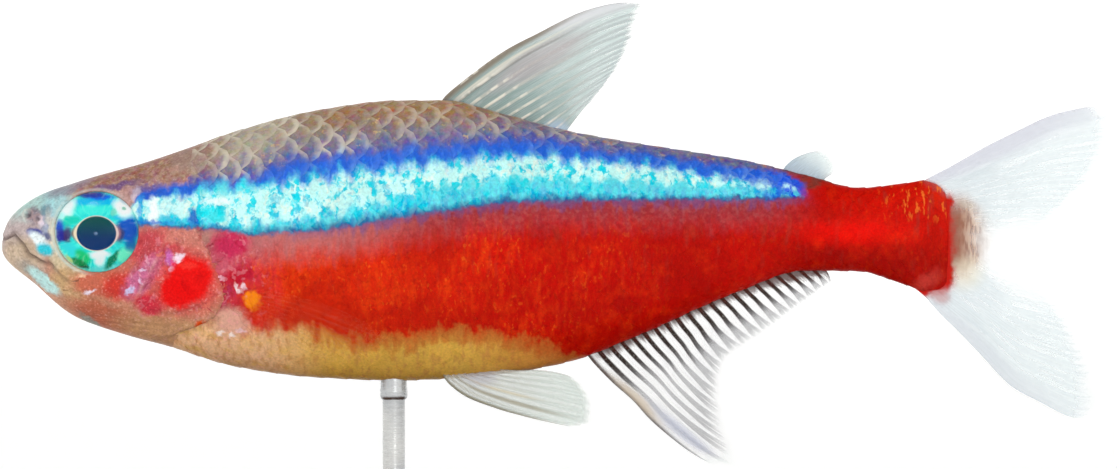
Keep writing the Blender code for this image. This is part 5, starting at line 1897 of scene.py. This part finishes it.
class TETRA_OT_paired_fins(bpy.types.Operator):
    """Make the pelvic and pectoral fins of both sides with their rays"""

    bl_idname = "tetra.paired_fins"
    bl_label = "Paired fins"

    def execute(self, context):
        sizes = context.scene.tetra_sizes
        hinge = Matrix.Translation((0.0, PELVIC_OUT, PELVIC_HINGE))
        lowered = Matrix.Translation((0.0, 0.0, -PELVIC_HINGE))
        pelvic_place = hinge @ Matrix.Rotation(PELVIC_SPLAY, 4, "X") @ lowered
        splay = Matrix.Rotation(PECTORAL_SPLAY, 4, "Z")
        droop = Matrix.Rotation(PECTORAL_DROOP, 4, "Y")
        pectoral_place = Matrix.Translation(PECTORAL_PLACE) @ splay @ droop
        pelvic_look = fin_material("tetra_pelvic_fin", FinLook(
            ((232, 238, 235), (236, 247, 241)), ((206, 206, 196), (218, 234, 226)),
            (0.32, 0.28), (0.5, 0.3), PELVIC_TINTS, fade=0.08,
        ))
        pectoral_look = fin_material("tetra_pectoral_fin", FinLook(
            ((216, 96, 60), (220, 140, 100)), ((226, 120, 84), (226, 150, 110)),
            (0.02, 0.01), (0.06, 0.03), fade=0.12,
        ))
        fins = (
            ("pelvic", TetraFin(PELVIC, 72, 44, 0.05, 0.35, pelvic_place, 0.7), pelvic_look),
            ("pectoral", TetraFin(PECTORAL, 80, 44, 0.04, 0.4, pectoral_place, 0.6), pectoral_look),
        )
        for word, fin, look in fins:
            right = fin.make(f"{word}_fin_right_rays", sizes)
            left = mirrored_copy(right, f"{word}_fin_left_rays")
            finish_piece(right, look, "fin", f"{word}_fin_right")
            finish_piece(left, look, "fin", f"{word}_fin_left")
        return {"FINISHED"}


def wood_material(colours):
    """Dark oiled wood with long grain and fine pores."""
    material, shader, g = new_material("stand_wood")
    place = g.millimetres()
    wander = g.noise(g.stretched(place, (0.06, 0.5, 0.5)), 1, 2, 1)
    bent = g.vector("ADD", place, g.stretched(wander, (0, 2.2, 2.2)))
    rings = g.add(
        "ShaderNodeTexWave", {"bands_direction": "Y", "wave_type": "BANDS"},
        {"Vector": g.stretched(bent, (0, 1, 0.8)), "Scale": 0.36, "Distortion": 1.5, "Detail": 2},
        "Fac",
    )
    pores = g.noise(g.stretched(place, (0.35, 5, 5)), 1.6, 2)
    tone = g.noise(g.stretched(place, (0.05, 0.5, 0.5)), 1, 3)
    light = g.mix(0.65, colours.wood, (124, 84, 54))
    colour = g.mix(g.swing(rings, 0.15, 0.85), colours.wood, light)
    colour = g.mix(g.swing(tone, 0.35, 0.7, 0, 0.55), colour, (58, 34, 22))
    colour = g.mix(g.swing(pores, 0.6, 0.7, 0, 0.75), colour, (34, 20, 14))
    bump = g.bump(0.35, 0.04, g.minus(rings, pores))
    rough = g.swing(pores, 0.4, 0.7, 0.34, 0.55)
    finish_look(g, shader, colour, rough, bump, Specular_IOR_Level=0.4)
    return material


def steel_material():
    """Brushed steel, with its fine scratches running round the rod."""
    material, shader, g = new_material("stand_steel")
    place = g.millimetres()
    lines = g.noise(g.stretched(place, (0.6, 0.6, 9)), 3, 3)
    smears = g.noise(place, 0.8, 2)
    colour = g.mix(g.swing(smears, 0.35, 0.65), (186, 188, 190), (206, 206, 204))
    bump = g.bump(0.25, 0.02, lines)
    finish_look(g, shader, colour, g.swing(lines, 0.3, 0.7, 0.22, 0.38), bump, Metallic=1)
    return material


def turned_piece(name, outline, steps, merge, inside):
    """An outline of radii and heights, turned round the upright axis through the origin."""
    mesh = bpy.data.meshes.new(name)
    vertices = [(radius, 0.0, height) for radius, height in outline]
    mesh.from_pydata(vertices, [(i, i + 1) for i in range(len(vertices) - 1)], [])
    piece = bpy.data.objects.new(name, mesh)
    bpy.context.collection.objects.link(piece)
    select_only(piece)
    bpy.ops.object.mode_set(mode="EDIT")
    bpy.ops.mesh.select_all(action="SELECT")
    bpy.ops.mesh.spin(steps=steps, angle=2 * math.pi, center=(0.0, 0.0, 0.0), axis=(0.0, 0.0, 1.0))
    bpy.ops.mesh.select_all(action="SELECT")
    bpy.ops.mesh.remove_doubles(threshold=merge)
    bpy.ops.mesh.normals_make_consistent(inside=inside)
    bpy.ops.object.mode_set(mode="OBJECT")
    return piece


def bevel_edges(piece, wanted, offset, segments):
    """Rounds the edges that the test wants, in edit mode."""
    select_only(piece)
    bpy.context.tool_settings.mesh_select_mode = (False, True, False)
    mesh = piece.data
    for part in (mesh.vertices, mesh.edges, mesh.polygons):
        part.foreach_set("select", np.zeros(len(part), bool))
    for edge in mesh.edges:
        ends = [mesh.vertices[i].co for i in edge.vertices]
        edge.select = bool(wanted(*ends))
    bpy.ops.object.mode_set(mode="EDIT")
    bpy.ops.mesh.bevel(offset=offset, offset_type="OFFSET", segments=segments, profile=0.5)
    bpy.ops.object.mode_set(mode="OBJECT")


BASE_CORNER = 3.0 * MM
BASE_EASING = 0.4 * MM
BASE_LOWER_EASING = 0.12 * MM
ROD_RADIUS = 0.35
ROD_FOOT_RADIUS = 1.2
# From the rod's foot up: radius and height
ROD_PROFILE = (
    (0.0, 0.0), (1.16, 0.0), (ROD_FOOT_RADIUS, 0.04), (ROD_FOOT_RADIUS, 0.34), (1.17, 0.41),
    (1.1, 0.45), (0.78, 0.47), (0.7, 0.49), (0.58, 0.52), (0.46, 0.6), (0.38, 0.7),
    (ROD_RADIUS, 0.82), (ROD_RADIUS, 1.8), (ROD_RADIUS, 3.2), (ROD_RADIUS, 4.6),
    (0.36, 4.66), (0.41, 4.7), (0.43, 4.78), (0.43, 4.95), (0.42, 5.02),
)


class TETRA_OT_stand(bpy.types.Operator):
    """Make the stand: a wooden base with round corners and a steel rod on a turned foot"""

    bl_idname = "tetra.stand"
    bl_label = "Stand"

    def execute(self, context):
        low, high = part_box("stand_base")
        middle = (low + high) / 2
        base = start_piece(bpy.ops.mesh.primitive_cube_add, "stand_base_block", size=1.0)
        points = read_points(base.data) * np.array(high - low) + np.array(middle)
        write_points(base.data, points)
        upright = 0.5 * (high.z - low.z)
        bevel_edges(base, lambda a, b: abs(a.z - b.z) > upright, BASE_CORNER, 14)
        top = high.z - 0.01 * MM
        bevel_edges(base, lambda a, b: a.z > top and b.z > top, BASE_EASING, 4)
        floor = low.z + 0.01 * MM
        bevel_edges(base, lambda a, b: a.z < floor and b.z < floor, BASE_LOWER_EASING, 2)
        shade_smooth(base)
        select_only(base)
        bpy.ops.object.shade_smooth_by_angle(angle=math.radians(35))
        finish_piece(base, wood_material(context.scene.tetra_colours), "stand_base", "stand_base")

        rod_low, rod_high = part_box("stand_rod")
        foot = ((rod_low.x + rod_high.x) / 2, high.z)
        rod = turned_rod("stand_rod_turned", foot, self.belly_height(foot[0]))
        finish_piece(rod, steel_material(), "stand_rod", "stand_rod")
        return {"FINISHED"}

    def belly_height(self, at):
        """The height of the belly's skin over the rod, in the frame."""
        x = at / MM - SNOUT_X
        lowest = BODY.points(np.array([x]), np.array([-1.0]))[0][2]
        return (lowest + MOUTH_LEVEL) * MM


def turned_rod(name, foot, top):
    """The rod's profile turned round an upright axis, its upper end closed inside the body."""
    outline = [(radius * MM, foot[1] + height * MM) for radius, height in ROD_PROFILE]
    outline += [(outline[-1][0] * 0.98, top + 0.1 * MM), (0.0, top + 0.12 * MM)]
    rod = turned_piece(name, outline, 48, 0.002 * MM, False)
    points = read_points(rod.data)
    points[:, 0] += foot[0]
    write_points(rod.data, points)
    bpy.ops.object.shade_smooth_by_angle(angle=math.radians(40))
    return rod


FLOOR_RADIUS = 1.0
BOWL_CURVE = 0.45
BOWL_WALL = 0.45
BOWL_STEPS = 12
LIGHT_AIM = (0.0, 0.0, 0.011)
KEY_PLACE = (-0.16, -0.36, 0.34)
FILL_PLACE = (0.12, -0.5, 0.03)
CEILING_REACH = 0.85
CEILING_HEIGHT = 0.9
WALL_AIM_REACH = 1.05


def stage_material(glow):
    """White paper that light comes through a little."""
    material, shader, g = new_material("stage_paper")
    place = g.add("ShaderNodeTexCoord", {}, {}, "Object")
    tone = g.noise(place, 3, 2)
    colour = g.mix(g.swing(tone, 0.3, 0.7), (244, 244, 243), (249, 249, 248))
    finish_look(
        g, shader, colour, None, Roughness=0.95, Specular_IOR_Level=0.0,
        Emission_Strength=glow, Emission_Color=(1.0, 1.0, 1.0, 1.0),
    )
    return material


def add_area_light(name, place, aim, size, power):
    light = bpy.data.lights.new(name, "AREA")
    light.shape = "DISK"
    light.size = size
    light.energy = power
    lamp = bpy.data.objects.new(name, light)
    lamp.location = place
    lamp.rotation_euler = (Vector(aim) - Vector(place)).to_track_quat("-Z", "Y").to_euler()
    lamp.visible_camera = False
    bpy.context.collection.objects.link(lamp)
    return lamp


class TETRA_OT_stage(bpy.types.Operator):
    """Make the pale round backdrop, the soft lights and the camera"""

    bl_idname = "tetra.stage"
    bl_label = "Stage"

    def execute(self, context):
        studio = context.scene.tetra_studio
        outline = [(0.0, 0.0), (0.05, 0.0), (0.15, 0.0), (0.4, 0.0), (FLOOR_RADIUS, 0.0)]
        for step in range(1, BOWL_STEPS + 1):
            turn = math.radians(90) * step / BOWL_STEPS
            outline.append((FLOOR_RADIUS + BOWL_CURVE * math.sin(turn), BOWL_CURVE * (1 - math.cos(turn))))
        outline.append((FLOOR_RADIUS + BOWL_CURVE, BOWL_CURVE + BOWL_WALL))
        bowl = turned_piece("stage_bowl", outline, 96, 0.1 * MM, True)
        shade_smooth(bowl)
        bowl.data.materials.append(stage_material(studio.glow))

        world = bpy.data.worlds.new("studio")
        world.use_nodes = True
        sky = world.node_tree.nodes["Background"]
        sky.inputs["Color"].default_value = (1.0, 1.0, 1.0, 1.0)
        sky.inputs["Strength"].default_value = studio.sky
        context.scene.world = world

        add_area_light("key", KEY_PLACE, LIGHT_AIM, 0.12, studio.key)
        add_area_light("fill", FILL_PLACE, LIGHT_AIM, 0.16, studio.fill)
        for turn in (90, 210, 330):
            a = math.radians(turn)
            place = (CEILING_REACH * math.cos(a), CEILING_REACH * math.sin(a), CEILING_HEIGHT)
            below = (WALL_AIM_REACH * math.cos(a), WALL_AIM_REACH * math.sin(a), 0.0)
            add_area_light("ceiling", place, below, 0.7, studio.ceiling)

        camera = bpy.data.cameras.new("camera")
        camera.lens = studio.lens
        camera.sensor_width = 36.0
        camera.clip_start = 0.01
        camera.clip_end = 20.0
        viewer = bpy.data.objects.new("camera", camera)
        viewer.location = (studio.camera_x, -studio.distance, studio.camera_z)
        viewer.rotation_euler = (math.radians(90), 0.0, 0.0)
        context.collection.objects.link(viewer)
        context.scene.camera = viewer
        context.scene.view_settings.view_transform = "Standard"
        return {"FINISHED"}


class TETRA_PT_panel(bpy.types.Panel):
    """Lists the fish's pieces, sizes and colours"""

    bl_idname = "TETRA_PT_panel"
    bl_label = "Tetra"
    bl_space_type = "VIEW_3D"
    bl_region_type = "UI"
    bl_category = "Tetra"

    def draw(self, context):
        layout = self.layout
        for operator in OPERATORS:
            layout.operator(operator.bl_idname)
        for settings in (
            context.scene.tetra_sizes, context.scene.tetra_colours, context.scene.tetra_studio,
        ):
            box = layout.box()
            for name in settings.__annotations__:
                box.prop(settings, name)


SETTINGS = (("tetra_sizes", TetraSizes), ("tetra_colours", TetraColours), ("tetra_studio", TetraStudio))
OPERATORS = (
    TETRA_OT_skin, TETRA_OT_scales, TETRA_OT_eyes, TETRA_OT_middle_fins, TETRA_OT_paired_fins,
    TETRA_OT_stand, TETRA_OT_stage,
)


def register():
    for name, settings in SETTINGS:
        bpy.utils.register_class(settings)
        setattr(bpy.types.Scene, name, bpy.props.PointerProperty(type=settings))
    for operator in OPERATORS:
        bpy.utils.register_class(operator)
    bpy.utils.register_class(TETRA_PT_panel)


def unregister():
    bpy.utils.unregister_class(TETRA_PT_panel)
    for operator in reversed(OPERATORS):
        bpy.utils.unregister_class(operator)
    for name, settings in reversed(SETTINGS):
        delattr(bpy.types.Scene, name)
        bpy.utils.unregister_class(settings)


def main():
    register()
    bpy.ops.tetra.stage()
    bpy.ops.tetra.skin()
    bpy.ops.tetra.scales()
    bpy.ops.tetra.eyes()
    bpy.ops.tetra.middle_fins()
    bpy.ops.tetra.paired_fins()
    bpy.ops.tetra.stand()


if __name__ == "__main__":
    main()
